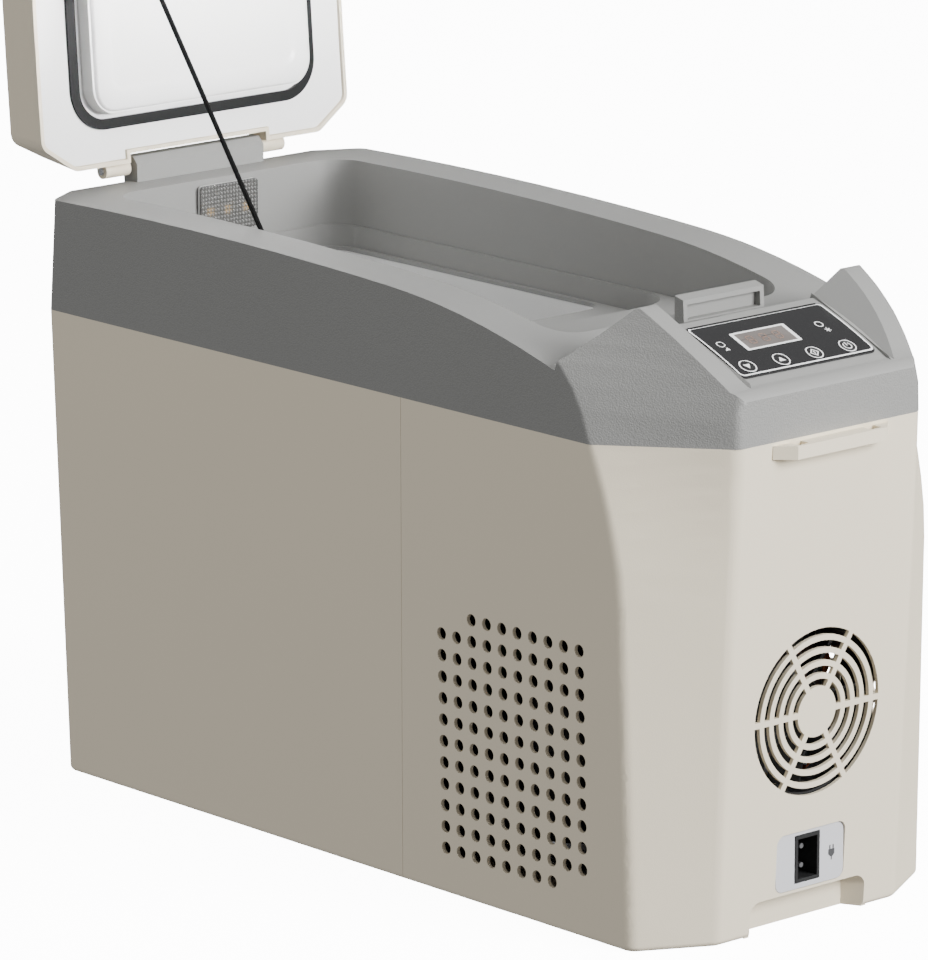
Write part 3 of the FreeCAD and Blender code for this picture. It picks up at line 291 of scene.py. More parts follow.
def grain_mask(tree, place):
    """One on the collar's walls that face outwards or forwards, and zero on top and inside."""
    spot = split_vector(tree, place)
    face = split_vector(tree, tree.nodes.new("ShaderNodeNewGeometry").outputs["Normal"])
    sideways = maths(tree, "MULTIPLY", maths(tree, "SIGN", spot["Y"], 0.0), face["Y"])
    outward = spread(tree, sideways, 0.0, 1.0, *WALL_FACING)
    forward = spread(tree, face["X"], 0.0, 1.0, *FRONT_FACING)
    at_front = spread(tree, spot["X"], 0.0, 1.0, *FRONT_EDGE)
    return maths(tree, "MAXIMUM", outward, maths(tree, "MULTIPLY", forward, at_front))


def pebble_cells(tree, place):
    """Distance to the middle of the nearest leather pebble, with warped outlines."""
    cells = tree.nodes.new("ShaderNodeTexVoronoi")
    cells.feature = "SMOOTH_F1"
    cells.inputs["Scale"].default_value = PEBBLE_SCALE
    cells.inputs["Smoothness"].default_value = PEBBLE_SMOOTHNESS
    cells.inputs["Randomness"].default_value = 1.0
    drift = tree.nodes.new("ShaderNodeTexNoise")
    drift.inputs["Scale"].default_value = WARP_SCALE
    link(tree, place, drift.inputs["Vector"])
    warp = tree.nodes.new("ShaderNodeVectorMath")
    warp.operation = "MULTIPLY_ADD"
    link(tree, drift.outputs["Color"], warp.inputs[0])
    warp.inputs[1].default_value = (WARP_REACH, WARP_REACH, WARP_REACH)
    link(tree, place, warp.inputs[2])
    link(tree, warp.outputs["Vector"], cells.inputs["Vector"])
    return cells.outputs["Distance"]


def collar_grey():
    """Grey plastic: leather grain on the walls that face outwards, smooth on top and inside; painted shade
    darkens the grain's creases.
    """
    material = surface("grey_plastic", srgb(136, 136, 134), 0.5)
    tree = material.node_tree
    shader = tree.nodes["Principled BSDF"]
    place = object_place(tree)
    mask = grain_mask(tree, place)
    cells = spread(tree, pebble_cells(tree, place), 1.0, 0.0, *PEBBLE_HEIGHT)
    pebble = maths(tree, "MULTIPLY", cells, mask)
    fine = maths(tree, "MULTIPLY", noise(tree, place, FINE_SCALE, 2.0), FINE_SHARE)
    height = maths(tree, "ADD", pebble, fine)
    link(tree, add_bump(tree, height, 0.5, PEBBLE_DEPTH), shader.inputs["Normal"])
    base = shader.inputs["Base Color"].links[0].from_socket
    between = maths(tree, "SUBTRACT", mask, pebble)
    # painted shade: the creases between the leather pebbles are mixed towards a darker grey
    painted_crease_shade = spread(tree, between, 0.0, CREASE_WIDTH, CREASE_SHADE, 1.0)
    link(tree, blend_colour(tree, painted_crease_shade, base, srgb(104, 104, 102)), shader.inputs["Base Color"])
    return material


def liner_white():
    """Glossy white sheet of the lid's inside, with the slow ripple of formed sheet."""
    material = surface("liner_white", srgb(250, 250, 249), 0.22, variation=0.01)
    tree = material.node_tree
    ripple = noise(tree, object_place(tree), RIPPLE_SCALE, 1.0)
    normal = add_bump(tree, ripple, RIPPLE_STRENGTH, RIPPLE_DEPTH)
    link(tree, normal, tree.nodes["Principled BSDF"].inputs["Normal"])
    return material


def lens_clear():
    """Clear moulded lens with a prismatic grid, and the prisms' shade and highlight painted into its
    colour.
    """
    material = surface("lens_clear", srgb(226, 226, 224), 0.2, variation=0.04)
    tree = material.node_tree
    shader = tree.nodes["Principled BSDF"]
    shader.inputs["Transmission Weight"].default_value = 0.6
    place = object_place(tree)
    heights = []
    for direction in ("Y", "Z"):
        wave = tree.nodes.new("ShaderNodeTexWave")
        wave.bands_direction = direction
        wave.inputs["Scale"].default_value = PRISM_SCALE
        link(tree, place, wave.inputs["Vector"])
        heights.append(wave.outputs["Fac"])
    grid = maths(tree, "MULTIPLY", *heights)
    link(tree, add_bump(tree, grid, 1.0, PRISM_DEPTH), shader.inputs["Normal"])
    # painted shade and highlight: darker grey in the prism grid's troughs, lighter on its crests
    colour = blend_colour(tree, grid, srgb(120, 120, 118), srgb(205, 205, 203))
    link(tree, colour, shader.inputs["Base Color"])
    return material


def glowing(name, colour, strength):
    material = surface(name, colour, 0.4)
    shader = material.node_tree.nodes["Principled BSDF"]
    shader.inputs["Emission Color"].default_value = (*colour, 1)
    shader.inputs["Emission Strength"].default_value = strength
    return material


def braid_black():
    """Woven cover of the stay: two sets of yarns crossing, with painted shade in the grooves between them.
    """
    material = surface("braid_black", srgb(12, 12, 12), 0.8, specular=0.15)
    tree = material.node_tree
    shader = tree.nodes["Principled BSDF"]
    route = split_vector(tree, tree.nodes.new("ShaderNodeUVMap").outputs["UV"])
    yarns = []
    for sign in (1.0, -1.0):
        turn = maths(tree, "MULTIPLY", route["X"], sign * YARNS_ROUND * 2 * math.pi)
        along = maths(tree, "MULTIPLY", route["Y"], YARNS_PER_METRE * 2 * math.pi)
        yarns.append(maths(tree, "SINE", maths(tree, "ADD", turn, along), 0.0))
    weave = maths(tree, "MAXIMUM", *yarns)
    link(tree, add_bump(tree, weave, 0.8, YARN_DEPTH), shader.inputs["Normal"])
    # painted shade: darker in the grooves between the yarns, lighter on their crests
    shade = spread(tree, weave, 0.0, 1.0, -0.4, 1.0)
    link(tree, blend_colour(tree, shade, srgb(4, 4, 4), srgb(17, 17, 17)), shader.inputs["Base Color"])
    return material


def window_glass():
    """The display's unlit window, slightly cloudy."""
    material = surface("display_glass", srgb(104, 98, 95), 0.12, variation=0.06)
    tree = material.node_tree
    cloud = noise(tree, object_place(tree), SMOKE_SCALE, 2.0)
    shade = blend_colour(tree, cloud, srgb(92, 87, 84), srgb(122, 117, 114))
    link(tree, shade, tree.nodes["Principled BSDF"].inputs["Base Color"])
    return material


# ---------------------------------------------------------------- CAD nodes

WELD_GAP = 2e-6
FLAT_ANGLE = 0.2
BEVEL_ANGLE = 28.0
CREASE_ANGLE = 36
# node: width of its rounded edges, segments
ROUNDED_EDGES = {
    "rear_housing": (0.0011, 2),
    "front_housing": (0.0011, 2),
    "collar": (0.0019, 3),
    "lid_shell": (0.0014, 3),
    "lid_liner": (0.0018, 4),
    "lid_catch": (0.0005, 2),
    "inlet_plate": (0.0004, 2),
    "power_socket": (0.0005, 2),
    "tank_liner": (0.002, 3),
}


def dress(material, *names):
    """Gives CAD nodes a material."""
    for name in names:
        mesh = NODES[name].data
        mesh.materials.clear()
        mesh.materials.append(material)


def crease_group():
    """Geometry nodes that keep the edges that stay angular sharp."""
    group = bpy.data.node_groups.new("creases", "GeometryNodeTree")
    group.interface.new_socket("Geometry", in_out="INPUT", socket_type="NodeSocketGeometry")
    group.interface.new_socket("Geometry", in_out="OUTPUT", socket_type="NodeSocketGeometry")
    start = group.nodes.new("NodeGroupInput")
    end = group.nodes.new("NodeGroupOutput")
    angle = group.nodes.new("GeometryNodeInputMeshEdgeAngle")
    steep = group.nodes.new("FunctionNodeCompare")
    steep.inputs["B"].default_value = math.radians(CREASE_ANGLE)
    shade = group.nodes.new("GeometryNodeSetShadeSmooth")
    shade.domain = "EDGE"
    shade.inputs["Shade Smooth"].default_value = False
    group.links.new(angle.outputs["Unsigned Angle"], steep.inputs["A"])
    group.links.new(steep.outputs["Result"], shade.inputs["Selection"])
    group.links.new(start.outputs["Geometry"], shade.inputs["Geometry"])
    group.links.new(shade.outputs["Geometry"], end.inputs["Geometry"])
    return group


def soften(name, width, segments, creases):
    """Small rounded edges on a CAD node, as a mould leaves them."""
    node = NODES[name]
    weld = node.modifiers.new("weld", "WELD")
    weld.merge_threshold = WELD_GAP
    flat = node.modifiers.new("flat", "DECIMATE")
    flat.decimate_type = "DISSOLVE"
    flat.angle_limit = math.radians(FLAT_ANGLE)
    bevel = node.modifiers.new("edge", "BEVEL")
    bevel.width = width
    bevel.segments = segments
    bevel.limit_method = "ANGLE"
    bevel.angle_limit = math.radians(BEVEL_ANGLE)
    bevel.use_clamp_overlap = True
    node.data.shade_smooth()
    sharp = node.modifiers.new("creases", "NODES")
    sharp.node_group = creases
    even = node.modifiers.new("even", "WEIGHTED_NORMAL")
    even.keep_sharp = True


def dress_outside(liner):
    """The nodes that the closed or open cooler shows."""
    beige = surface("beige_plastic", srgb(232, 221, 198), 0.48, 0.2, variation=0.015)
    keys = surface("key_black", srgb(30, 30, 31), 0.28, 0.1, 1800.0)
    panel = surface("panel_black", srgb(33, 33, 34), 0.2, 0.08, 1800.0, specular=0.6)
    seal = surface("seal_rubber", srgb(13, 13, 14), 0.42, 0.25, 900.0, specular=0.2)
    dress(beige, "rear_housing", "front_housing", "lid_shell")
    dress(collar_grey(), "collar", "latch_keeper", "lid_catch")
    dress(liner, "lid_liner")
    dress(surface("tank_plastic", srgb(226, 226, 225), 0.38, 0.1), "tank_liner")
    dress(seal, "lid_gasket")
    dress(panel, "panel_overlay")
    dress(keys, "key_down", "key_up", "key_mode", "key_power")
    dress(surface("lamp_grey", srgb(200, 200, 199), 0.4), "lamp_base")
    dress(window_glass(), "display_module")
    dress(lens_clear(), "lamp_lens")
    dress(glowing("lamp_warm", srgb(255, 206, 120), 6.0), "lamp_diodes")
    dress(surface("inlet_grey", srgb(204, 204, 208), 0.3, 0.08), "inlet_plate")


def dress_inside():
    """The machine bay, the insulation and the small hardware."""
    black = surface("component_black", srgb(28, 28, 29), 0.5, 0.3, 900.0)
    steel = surface("plated_steel", srgb(196, 197, 200), 0.28, 0.1, 500.0, 0.05, 1.0)
    copper = surface("copper", srgb(196, 120, 84), 0.3, 0.1, 300.0, 0.08, 1.0)
    aluminium = surface("aluminium", srgb(206, 208, 210), 0.35, 0.15, 700.0, 0.04, 1.0)
    rubber = surface("foot_rubber", srgb(38, 38, 38), 0.8, 0.4, 1100.0)
    board = surface("circuit_board", srgb(22, 84, 48), 0.35, 0.2, 800.0, 0.1)
    foam = surface("foam_cream", srgb(236, 226, 190), 0.9, 0.6, 260.0, 0.05)
    shell = surface("black_steel", srgb(16, 16, 17), 0.22, 0.05, 400.0)
    dress(foam, "foam_insulation", "lid_foam")
    dress(shell, "compressor_shell")
    dress(board, "control_board", "driver_board")
    dress(rubber, "rubber_feet", "compressor_grommets")
    dress(copper, "condenser_coil", "filter_drier", "suction_pipe", "discharge_pipe", "liquid_pipe")
    dress(copper, "capillary_tube", "temperature_sensor")
    dress(aluminium, "condenser_fins", "heat_sink", "evaporator_plate")
    dress(black, "key_switches", "bay_divider", "terminal_cover", "fan_frame", "fan_rotor")
    dress(black, "power_socket", "board_capacitors", "stay_anchor_lower", "stay_anchor_upper")
    dress(steel, "catch_pin", "hinge_rod", "compressor_bracket", "compressor_saddle", "compressor_bolts")
    dress(steel, "base_screws", "fan_screws", "socket_pins", "board_standoffs")


def soften_all():
    creases = crease_group()
    for name, (width, segments) in ROUNDED_EDGES.items():
        soften(name, width, segments, creases)


# ---------------------------------------------------------------- new pieces


def add_piece(name, vertices, faces, material, body, slot, smooth=False):
    mesh = bpy.data.meshes.new(name)
    mesh.from_pydata([tuple(v) for v in vertices], [], faces)
    mesh.materials.append(material)
    if smooth:
        mesh.shade_smooth()
    piece = bpy.data.objects.new(name, mesh)
    bpy.context.scene.collection.objects.link(piece)
    if body:
        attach(piece, body)
    return piece


def tree_of(name):
    """A CAD node's surface, to place things on it."""
    mesh = NODES[name].data
    return BVHTree.FromPolygons([v.co for v in mesh.vertices], [tuple(p.vertices) for p in mesh.polygons])


def circle(along, across, radius, count=40, start=0.0, sweep=360.0):
    """Points of a circle or arc; start and sweep are degrees from up the panel's slope."""
    steps = count if sweep >= 360 else count + 1
    turns = [math.radians(start + sweep * i / count) for i in range(steps)]
    return [(along - radius * math.cos(t), across + radius * math.sin(t)) for t in turns]


def rounded(a0, a1, b0, b1, radius, count=6):
    """Points of a rectangle with round corners."""
    corners = [(a0 + radius, b1 - radius, 0), (a1 - radius, b1 - radius, 90)]
    corners += [(a1 - radius, b0 + radius, 180), (a0 + radius, b0 + radius, 270)]
    loop = []
    for a, b, start in corners:
        loop += circle(a, b, radius, count, start, 90.0)
    return loop


LONG_RUN = 8


def subdivide(loop, count):
    """Adds points on a closed loop's long runs, so that it follows a curved face."""
    out = []
    for i, a in enumerate(loop):
        b = loop[(i + 1) % len(loop)]
        parts = count if math.dist(a, b) > LONG_RUN else 1
        out += [(a[0] + (b[0] - a[0]) * k / parts, a[1] + (b[1] - a[1]) * k / parts) for k in range(parts)]
    return out


# ---------------------------------------------------------------- printing on the panel

# in metres
PANEL_LANE = 0.054
PANEL_ABOVE = 0.6
PANEL_INSET = 0.0002
PANEL_STEP = 0.00025
PRINT_LIFT = 0.00012
WINDOW_LIFT = 0.00008
DIGIT_LIFT = 0.00016
PROBE = 0.004

# in millimetres down the panel's slope and across it
OUTLINE_INSET = 0.05
OUTLINE_WIDTH = 1.25
OUTLINE_CORNER = 3.5
OUTLINE_INNER_CORNER = OUTLINE_CORNER - 1.0
OUTLINE_PARTS = 24
FRAME_OUTSIDE = (12.6, 31.4, -33.4, 12.4)
FRAME_CORNER = 1.2
FRAME_INSIDE = (14.2, 29.8, -30.6, 9.6)
WINDOW = (14.0, 30.0, -30.9, 9.9)
WINDOW_CORNER = 0.4
DIGIT_ROW = 22.0
DIGITS_ACROSS = (-22.5, -11.5, -0.5)
DIGIT_SIZE = (7.6, 4.6)
DIGIT_STROKE = 0.9
DIGIT_GAP = 0.5
FAR_RING = (20.8, -47.0)
NEAR_RING = (20.3, 36.0)
RING_OUTSIDE = 3.0
RING_INSIDE = 2.25
POINTER = ((27.6, -48.6), (27.6, -44.6), (24.6, -45.2))
STAR = (27.0, 37.6)
STAR_REACH = 2.3
STAR_STROKE = 0.6
KEY_RING_GAP = 0.1
KEY_RING_WIDTH = 0.85
ARROW_BACK = 1.7
ARROW_LENGTH = 4.0
ARROW_HALF = 2.7
DIAMOND_OUTSIDE = 3.6
DIAMOND_INSIDE = 2.5
DASH_REACH = 1.4
DASH_STROKE = 0.7
POWER_OUTSIDE = 3.2
POWER_INSIDE = 2.4
POWER_ARC = (30, 35, 290)
POWER_BAR = (3.6, 0.2)
POWER_STROKE = 0.8


class PanelMap:
    """Places printing on the curved control panel: distance down the slope, distance across."""

    def __init__(self):
        low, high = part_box("panel_overlay")
        tree = tree_of("panel_overlay")
        self.line = []
        travelled = 0.0
        last = None
        x = low[0] + PANEL_INSET
        while x < high[0]:
            hit, normal, _, _ = tree.ray_cast(Vector((x, PANEL_LANE, PANEL_ABOVE)), Vector((0, 0, -1)))
            if hit is not None:
                flat = Vector((hit.x, 0, hit.z))
                travelled += (flat - last).length if last else 0.0
                last = flat
                self.line.append((travelled, flat, Vector((normal.x, 0, normal.z)).normalized()))
            x += PANEL_STEP
        self.length = travelled
        self.sides = (low[1] / MM, high[1] / MM)

    def key_spot(self, name):
        """Where a key is on the panel, and the radius of the ring printed on it."""
        low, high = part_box(name)
        middle = (low[0] + high[0]) / 2
        along = min(self.line, key=lambda row: abs(row[1].x - middle))[0]
        return along / MM, (low[1] + high[1]) / 2 / MM, (high[1] - low[1]) / 2 / MM - KEY_RING_GAP

    def spot(self, along, across, tree, lift):
        """The point on the panel, or on the node that tree is of, lifted off it."""
        at = min(max(along * MM, 0.0), self.length)
        index = min(range(len(self.line)), key=lambda i: abs(self.line[i][0] - at))
        _, point, normal = self.line[index]
        tangent = Vector((normal.z, 0, -normal.x))
        point = point + tangent * (at - self.line[index][0]) + Vector((0, across * MM, 0))
        if tree:
            hit, _, _, _ = tree.ray_cast(point + normal * PROBE, -normal)
            if hit is not None:
                point = hit
        return point + normal * lift


class Print:
    """Printing of one colour collected into one piece, on the panel or on a node in it."""

    def __init__(self, panel, node=None, lift=PRINT_LIFT):
        self.panel = panel
        self.tree = tree_of(node) if node else None
        self.lift = lift
        self.points = []
        self.faces = []

    def add(self, loop):
        first = len(self.points)
        self.points += [self.panel.spot(a, b, self.tree, self.lift) for a, b in loop]
        return first

    def band(self, outer, inner, closed=True):
        """The strip between two loops or arcs with as many points."""
        a = self.add(outer)
        b = self.add(inner)
        n = len(outer)
        for i in range(n if closed else n - 1):
            j = (i + 1) % n
            self.faces.append((a + i, b + i, b + j, a + j))

    def ring(self, middle, outside, inside, *arc):
        self.band(circle(*middle, outside, *arc), circle(*middle, inside, *arc), closed=len(arc) < 3)

    def patch(self, loop):
        first = self.add(loop)
        self.faces.append(tuple(range(first, first + len(loop))))

    def stroke(self, a, b, width):
        """A straight line of a width between two points."""
        run = Vector((b[0] - a[0], b[1] - a[1]))
        side = Vector((-run.y, run.x)).normalized() * width / 2
        self.patch([(p[0] + k * side.x, p[1] + k * side.y) for p, k in ((a, 1), (b, 1), (b, -1), (a, -1))])

    def piece(self, name, material, body, slot):
        return add_piece(name, self.points, self.faces, material, body, slot)


def print_legend(panel, ink):
    """The panel's outline, the window's frame, and an indicator and a symbol on either side."""
    total = panel.length / MM
    left, right = panel.sides
    legend = Print(panel)
    insets = (OUTLINE_INSET, OUTLINE_INSET + OUTLINE_WIDTH)
    outlines = []
    for inset, corner in zip(insets, (OUTLINE_CORNER, OUTLINE_INNER_CORNER)):
        loop = rounded(inset, total - inset, left + inset, right - inset, corner)
        outlines.append(subdivide(loop, OUTLINE_PARTS))
    legend.band(*outlines)
    legend.band(rounded(*FRAME_OUTSIDE, FRAME_CORNER), rounded(*FRAME_INSIDE, WINDOW_CORNER))
    legend.ring(FAR_RING, RING_OUTSIDE, RING_INSIDE)
    legend.patch(POINTER)
    legend.ring(NEAR_RING, RING_OUTSIDE, RING_INSIDE)
    along, across = STAR
    for turn in (0, 60, 120):
        reach = Vector((math.cos(math.radians(turn)), math.sin(math.radians(turn)))) * STAR_REACH
        legend.stroke((along - reach.x, across - reach.y), (along + reach.x, across + reach.y), STAR_STROKE)
    legend.piece("panel_print", ink, "cabinet", "liner_white")


def seven_segments(along, across, tall, wide):
    """The strokes of an unlit numeral eight."""
    rows = [along - tall / 2, along, along + tall / 2]
    sides = [across - wide / 2, across + wide / 2]
    strokes = [((r, sides[0] + DIGIT_GAP), (r, sides[1] - DIGIT_GAP)) for r in rows]
    for top, bottom in ((rows[0], rows[1]), (rows[1], rows[2])):
        strokes += [((top + DIGIT_GAP, side), (bottom - DIGIT_GAP, side)) for side in sides]
    return strokes


def print_display(panel):
    """The window, and the unlit numerals in it."""
    window = Print(panel, lift=WINDOW_LIFT)
    window.patch(rounded(*WINDOW, WINDOW_CORNER))
    window.piece("display_window", window_glass(), "cabinet", "display_glass")
    digits = Print(panel, lift=DIGIT_LIFT)
    for across in DIGITS_ACROSS:
        for a, b in seven_segments(DIGIT_ROW, across, *DIGIT_SIZE):
            digits.stroke(a, b, DIGIT_STROKE)
    dim = surface("digit_dim", srgb(128, 104, 92), 0.5)
    digits.piece("display_digits", dim, "cabinet", "display_glass")


def draw_arrow(mark, along, across, way):
    base = along - ARROW_BACK * way
    tip = (base + ARROW_LENGTH * way, across)
    mark.patch([(base, across - ARROW_HALF), (base, across + ARROW_HALF), tip])


def draw_mode(mark, along, across):
    """A diamond with a dash in it."""
    mark.band(circle(along, across, DIAMOND_OUTSIDE, 4), circle(along, across, DIAMOND_INSIDE, 4))
    mark.stroke((along - DASH_REACH, across), (along + DASH_REACH, across), DASH_STROKE)


def draw_power(mark, along, across):
    """An open ring with a bar at its gap."""
    far, near = POWER_BAR
    mark.ring((along, across), POWER_OUTSIDE, POWER_INSIDE, *POWER_ARC)
    mark.stroke((along - far, across), (along - near, across), POWER_STROKE)


def print_keys(panel, ink):
    """A ring and a symbol on each key."""
    for name in ("key_down", "key_up", "key_mode", "key_power"):
        mark = Print(panel, name)
        along, across, ring = panel.key_spot(name)
        mark.ring((along, across), ring, ring - KEY_RING_WIDTH)
        if name == "key_down":
            draw_arrow(mark, along, across, 1)
        elif name == "key_up":
            draw_arrow(mark, along, across, -1)
        elif name == "key_mode":
            draw_mode(mark, along, across)
        else:
            draw_power(mark, along, across)
        mark.piece(name + "_print", ink, name + "_body", "liner_white")


# ---------------------------------------------------------------- symbol on the inlet plate

# in millimetres across and down from the symbol's middle
PLUG_HALF = 2.6
PLUG_TOP = -1.6
PLUG_SHOULDER = 1.6
PLUG_NECK = 0.9
PLUG_FOOT = 3.2
PRONG_PLACE = 1.4
PRONG_HALF = 0.5
PRONG_TIP = -4.2
LEAD_HALF = 0.4
LEAD_END = 5.4
INLET_PROBE = 0.01


def oblong(left, right, top, bottom):
    return [(left, top), (right, top), (right, bottom), (left, bottom)]


def plug_outlines():
    body = [(-PLUG_HALF, PLUG_TOP), (PLUG_HALF, PLUG_TOP), (PLUG_HALF, PLUG_SHOULDER)]
    body += [(PLUG_NECK, PLUG_FOOT), (-PLUG_NECK, PLUG_FOOT), (-PLUG_HALF, PLUG_SHOULDER)]
    shapes = [body]
    for y in (-PRONG_PLACE, PRONG_PLACE):
        shapes.append(oblong(y - PRONG_HALF, y + PRONG_HALF, PRONG_TIP, PLUG_TOP))
    shapes.append(oblong(-LEAD_HALF, LEAD_HALF, PLUG_FOOT, LEAD_END))
    return shapes


def print_inlet():
    """A small plug symbol beside the power inlet."""
    low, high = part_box("inlet_plate")
    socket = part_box("power_socket")[1]
    middle = (socket[1] + high[1]) / 2
    level = (low[2] + high[2]) / 2
    tree = tree_of("inlet_plate")
    points, faces = [], []
    for shape in plug_outlines():
        first = len(points)
        for y, z in shape:
            spot = Vector((high[0] + INLET_PROBE, middle + y * MM, level - z * MM))
            hit = tree.ray_cast(spot, Vector((-1, 0, 0)))[0]
            points.append(hit + Vector((PRINT_LIFT, 0, 0)))
        faces.append(tuple(range(first, len(points))))
    dark = surface("print_dark", srgb(70, 70, 72), 0.5)
    add_piece("inlet_symbol", points, faces, dark, "cabinet", "component_black")


# ---------------------------------------------------------------- formed sheet in the lid

# edges of a rounded rectangle: across from, across to, height from, height to
SHEET_EDGE = (-0.0905, 0.0905, 0.4325, 0.848)
SHEET_CORNER = 0.015
SUNK_EDGE = (-0.079, 0.079, 0.4445, 0.833)
SUNK_CORNER = 0.01
DISH_PLACE = Vector((0.023, 0.4945))
DISH_RADIUS = 0.034
DISH_POINTS = 72
# rings of the sheet: how far inside the edge, or the dish's radius, and the height over the liner
RIM_HEIGHT = 0.0026
SUNK_HEIGHT = 0.0013
DISH_HEIGHT = 0.0002
SHEET_RINGS = ((0, 0), (0.0006, 0.0017), (0.0018, RIM_HEIGHT))
SUNK_RINGS = ((0.0, RIM_HEIGHT), (0.0012, 0.0024), (0.003, 0.0016), (0.0045, SUNK_HEIGHT))
DISH_RINGS = ((DISH_RADIUS, SUNK_HEIGHT), (0.0325, 0.0012), (0.028, 0.0006), (0.0245, 0.0003))
DISH_RINGS += ((0.0225, DISH_HEIGHT),)
SHEET_GAP = 0.00005
SHEET_PARTS = 40
SMALLEST_CORNER = 0.002
# points between the rings
GRID_START = 0.012
GRID_END = 0.01
GRID_STEP = 0.008
DISH_CLEAR = 0.003
DISH_FLOOR = 0.019
IN_FRONT = 0.1


def loop_points(edge, corner, inset):
    """Points round a rounded rectangle of across and height, moved inwards."""
    left, right, low, high = edge
    radius = max(corner - inset, SMALLEST_CORNER) / MM
    sides = [(left + inset) / MM, (right - inset) / MM, (low + inset) / MM, (high - inset) / MM]
    loop = subdivide(rounded(*sides, radius, 5), SHEET_PARTS)
    return [Vector((a * MM, b * MM)) for a, b in loop]


def dish_points(radius):
    turns = [2 * math.pi * k / DISH_POINTS for k in range(DISH_POINTS)]
    return [DISH_PLACE + radius * Vector((math.cos(t), math.sin(t))) for t in turns]


def sheet_rings():
    """The sheet's rings from the outside in, each with its height."""
    rings = [(loop_points(SHEET_EDGE, SHEET_CORNER, inset), height) for inset, height in SHEET_RINGS]
    rings += [(loop_points(SUNK_EDGE, SUNK_CORNER, inset), height) for inset, height in SUNK_RINGS]
    return rings + [(dish_points(radius), height) for radius, height in DISH_RINGS]


def sheet_grid():
    """Spots on the sunk panel and on the dish's floor, each with its height."""
    left, right, low, high = SUNK_EDGE
    up = low + GRID_START
    while up < high - GRID_END:
        across = left + GRID_START
        while across <= right - GRID_END:
            spot = Vector((across, up))
            gap = (spot - DISH_PLACE).length
            if gap > DISH_RADIUS + DISH_CLEAR:
                yield spot, SUNK_HEIGHT
            elif gap < DISH_FLOOR:
                yield spot, DISH_HEIGHT
            across += GRID_STEP
        up += GRID_STEP


def make_liner_sheet(liner):
    """The formed sheet on the lid liner's middle: a step down to a sunk panel, and a round dish in it."""
    tree = tree_of("lid_liner")
    flat, heights, edges = [], [], []
    for loop, height in sheet_rings():
        first = len(flat)
        count = len(loop)
        flat += loop
        heights += [height] * count
        edges += [(first + i, first + (i + 1) % count) for i in range(count)]
    for spot, height in sheet_grid():
        flat.append(spot)
        heights.append(height)
    points, _, triangles, origins, _, _ = delaunay_2d_cdt(flat, edges, [], 1, 1e-7)
    vertices = []
    for spot, origin in zip(points, origins):
        ray = Vector((IN_FRONT, spot.x, spot.y))
        hit, normal, _, _ = tree.ray_cast(ray, Vector((-1, 0, 0)))
        vertices.append(hit + normal * (heights[origin[0]] + SHEET_GAP))
    faces = [tuple(t) for t in triangles]
    add_piece("liner_sheet", vertices, faces, liner, "lid", "liner_white", smooth=True)


# ---------------------------------------------------------------- the lid's stay

STAY_LOW = Vector((-0.103, -0.0945, 0.3695))
STAY_LOW_GAP = 0.0025
STAY_TOP_GAP = 0.0008
STAY_LEAD = 0.02
STAY_SPACING = 0.0011
STAY_RADIUS = 0.00155
STAY_SIDES = 24
YARN_HEIGHT = 0.00009
YARN_TURNS = 4
YARN_RATE = 1400


def sweep(name, path, radius, count, material, body, slot, ripple):
    """A tube along points, closed at both ends; ripple(turn, travelled) changes its radius."""
    points, faces, uvs = [], [], []
    final = len(path) - 1
    travelled = 0.0
    side = None
    for i, point in enumerate(path):
        before = path[max(i - 1, 0)]
        after = path[min(i + 1, final)]
        ahead = (after - before).normalized()
        if side is None:
            side = ahead.cross(Vector((0, 0, 1))).normalized()
        side = (side - ahead * side.dot(ahead)).normalized()
        over = ahead.cross(side)
        travelled += (point - before).length
        for k in range(count):
            turn = 2 * math.pi * k / count
            reach = radius + ripple(turn, travelled)
            points.append(point + side * (reach * math.cos(turn)) + over * (reach * math.sin(turn)))
            uvs.append((k / count, travelled))
    for i in range(final):
        for k in range(count):
            m = (k + 1) % count
            faces.append((i * count + k, i * count + m, (i + 1) * count + m, (i + 1) * count + k))
    faces.append(tuple(reversed(range(count))))
    faces.append(tuple(range(final * count, (final + 1) * count)))
    piece = add_piece(name, points, faces, material, body, slot, smooth=True)
    layer = piece.data.uv_layers.new(name="route")
    for loop in piece.data.loops:
        layer.data[loop.index].uv = uvs[loop.vertex_index]
    return piece


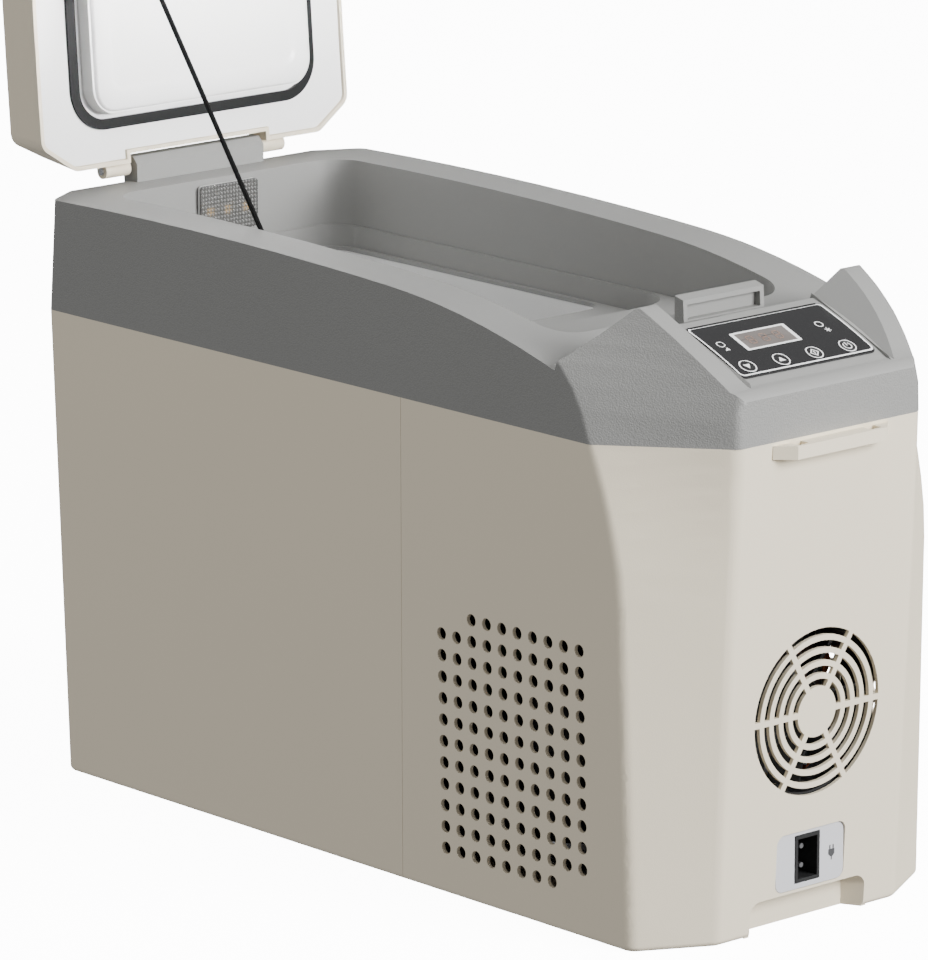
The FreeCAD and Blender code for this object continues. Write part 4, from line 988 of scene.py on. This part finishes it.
def spline_points(controls, spacing):
    """Evenly spaced points on the smooth line of a cord's route."""
    curve = bpy.data.curves.new("route", "CURVE")
    curve.dimensions = "3D"
    curve.resolution_u = 24
    spline = curve.splines.new("NURBS")
    spline.points.add(len(controls) - 1)
    for point, place in zip(spline.points, controls):
        point.co = (*place, 1)
    spline.order_u = 3
    spline.use_endpoint_u = True
    holder = bpy.data.objects.new("route", curve)
    bpy.context.scene.collection.objects.link(holder)
    bpy.context.view_layer.update()
    mesh = bpy.data.meshes.new_from_object(holder)
    raw = [v.co.copy() for v in mesh.vertices]
    bpy.data.objects.remove(holder)
    bpy.data.curves.remove(curve)
    bpy.data.meshes.remove(mesh)
    out = [raw[0]]
    carry = 0.0
    for a, b in zip(raw, raw[1:]):
        run = (b - a).length
        at = spacing - carry
        while at <= run and run > 0:
            out.append(a.lerp(b, at / run))
            at += spacing
        carry = run - (at - spacing)
    out.append(raw[-1])
    return out


def yarns(turn, travelled):
    """Height of the braid's yarns, which cross in both directions round the stay."""
    one_way = math.sin(YARN_TURNS * turn + travelled * YARN_RATE)
    other_way = math.sin(-YARN_TURNS * turn + travelled * YARN_RATE)
    return YARN_HEIGHT * max(one_way, other_way)


def make_stay():
    """The lid's braided stay, straight and taut from the collar's anchor to the lid's."""
    low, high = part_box("stay_cord")
    top = Vector((low[0], high[1], high[2]))
    run = (top - STAY_LOW).normalized()
    start = STAY_LOW + run * STAY_LOW_GAP
    end = top - run * STAY_TOP_GAP
    route = spline_points([start, start + run * STAY_LEAD, end - run * STAY_LEAD, end], STAY_SPACING)
    cord = sweep("stay_braid", route, STAY_RADIUS, STAY_SIDES, braid_black(), None, "cord_black", yarns)
    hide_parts("stay_cord")
    length = sum((b - a).length for a, b in zip(route, route[1:]))
    tuple(route[0])
    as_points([tuple(p) for p in route[::4]] + [tuple(route[-1])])
    tuple(route[0])
    tuple(route[-1])
    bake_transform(cord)


# ---------------------------------------------------------------- the whole scene


def build_scene():
    make_camera()
    make_stay()
    make_lights()
    make_floor()
    liner = liner_white()
    dress_outside(liner)
    dress_inside()
    soften_all()
    make_liner_sheet(liner)
    panel = PanelMap()
    ink = surface("print_white", srgb(240, 240, 240), 0.45)
    print_legend(panel, ink)
    print_display(panel)
    print_inlet()
    print_keys(panel, ink)


build_scene()
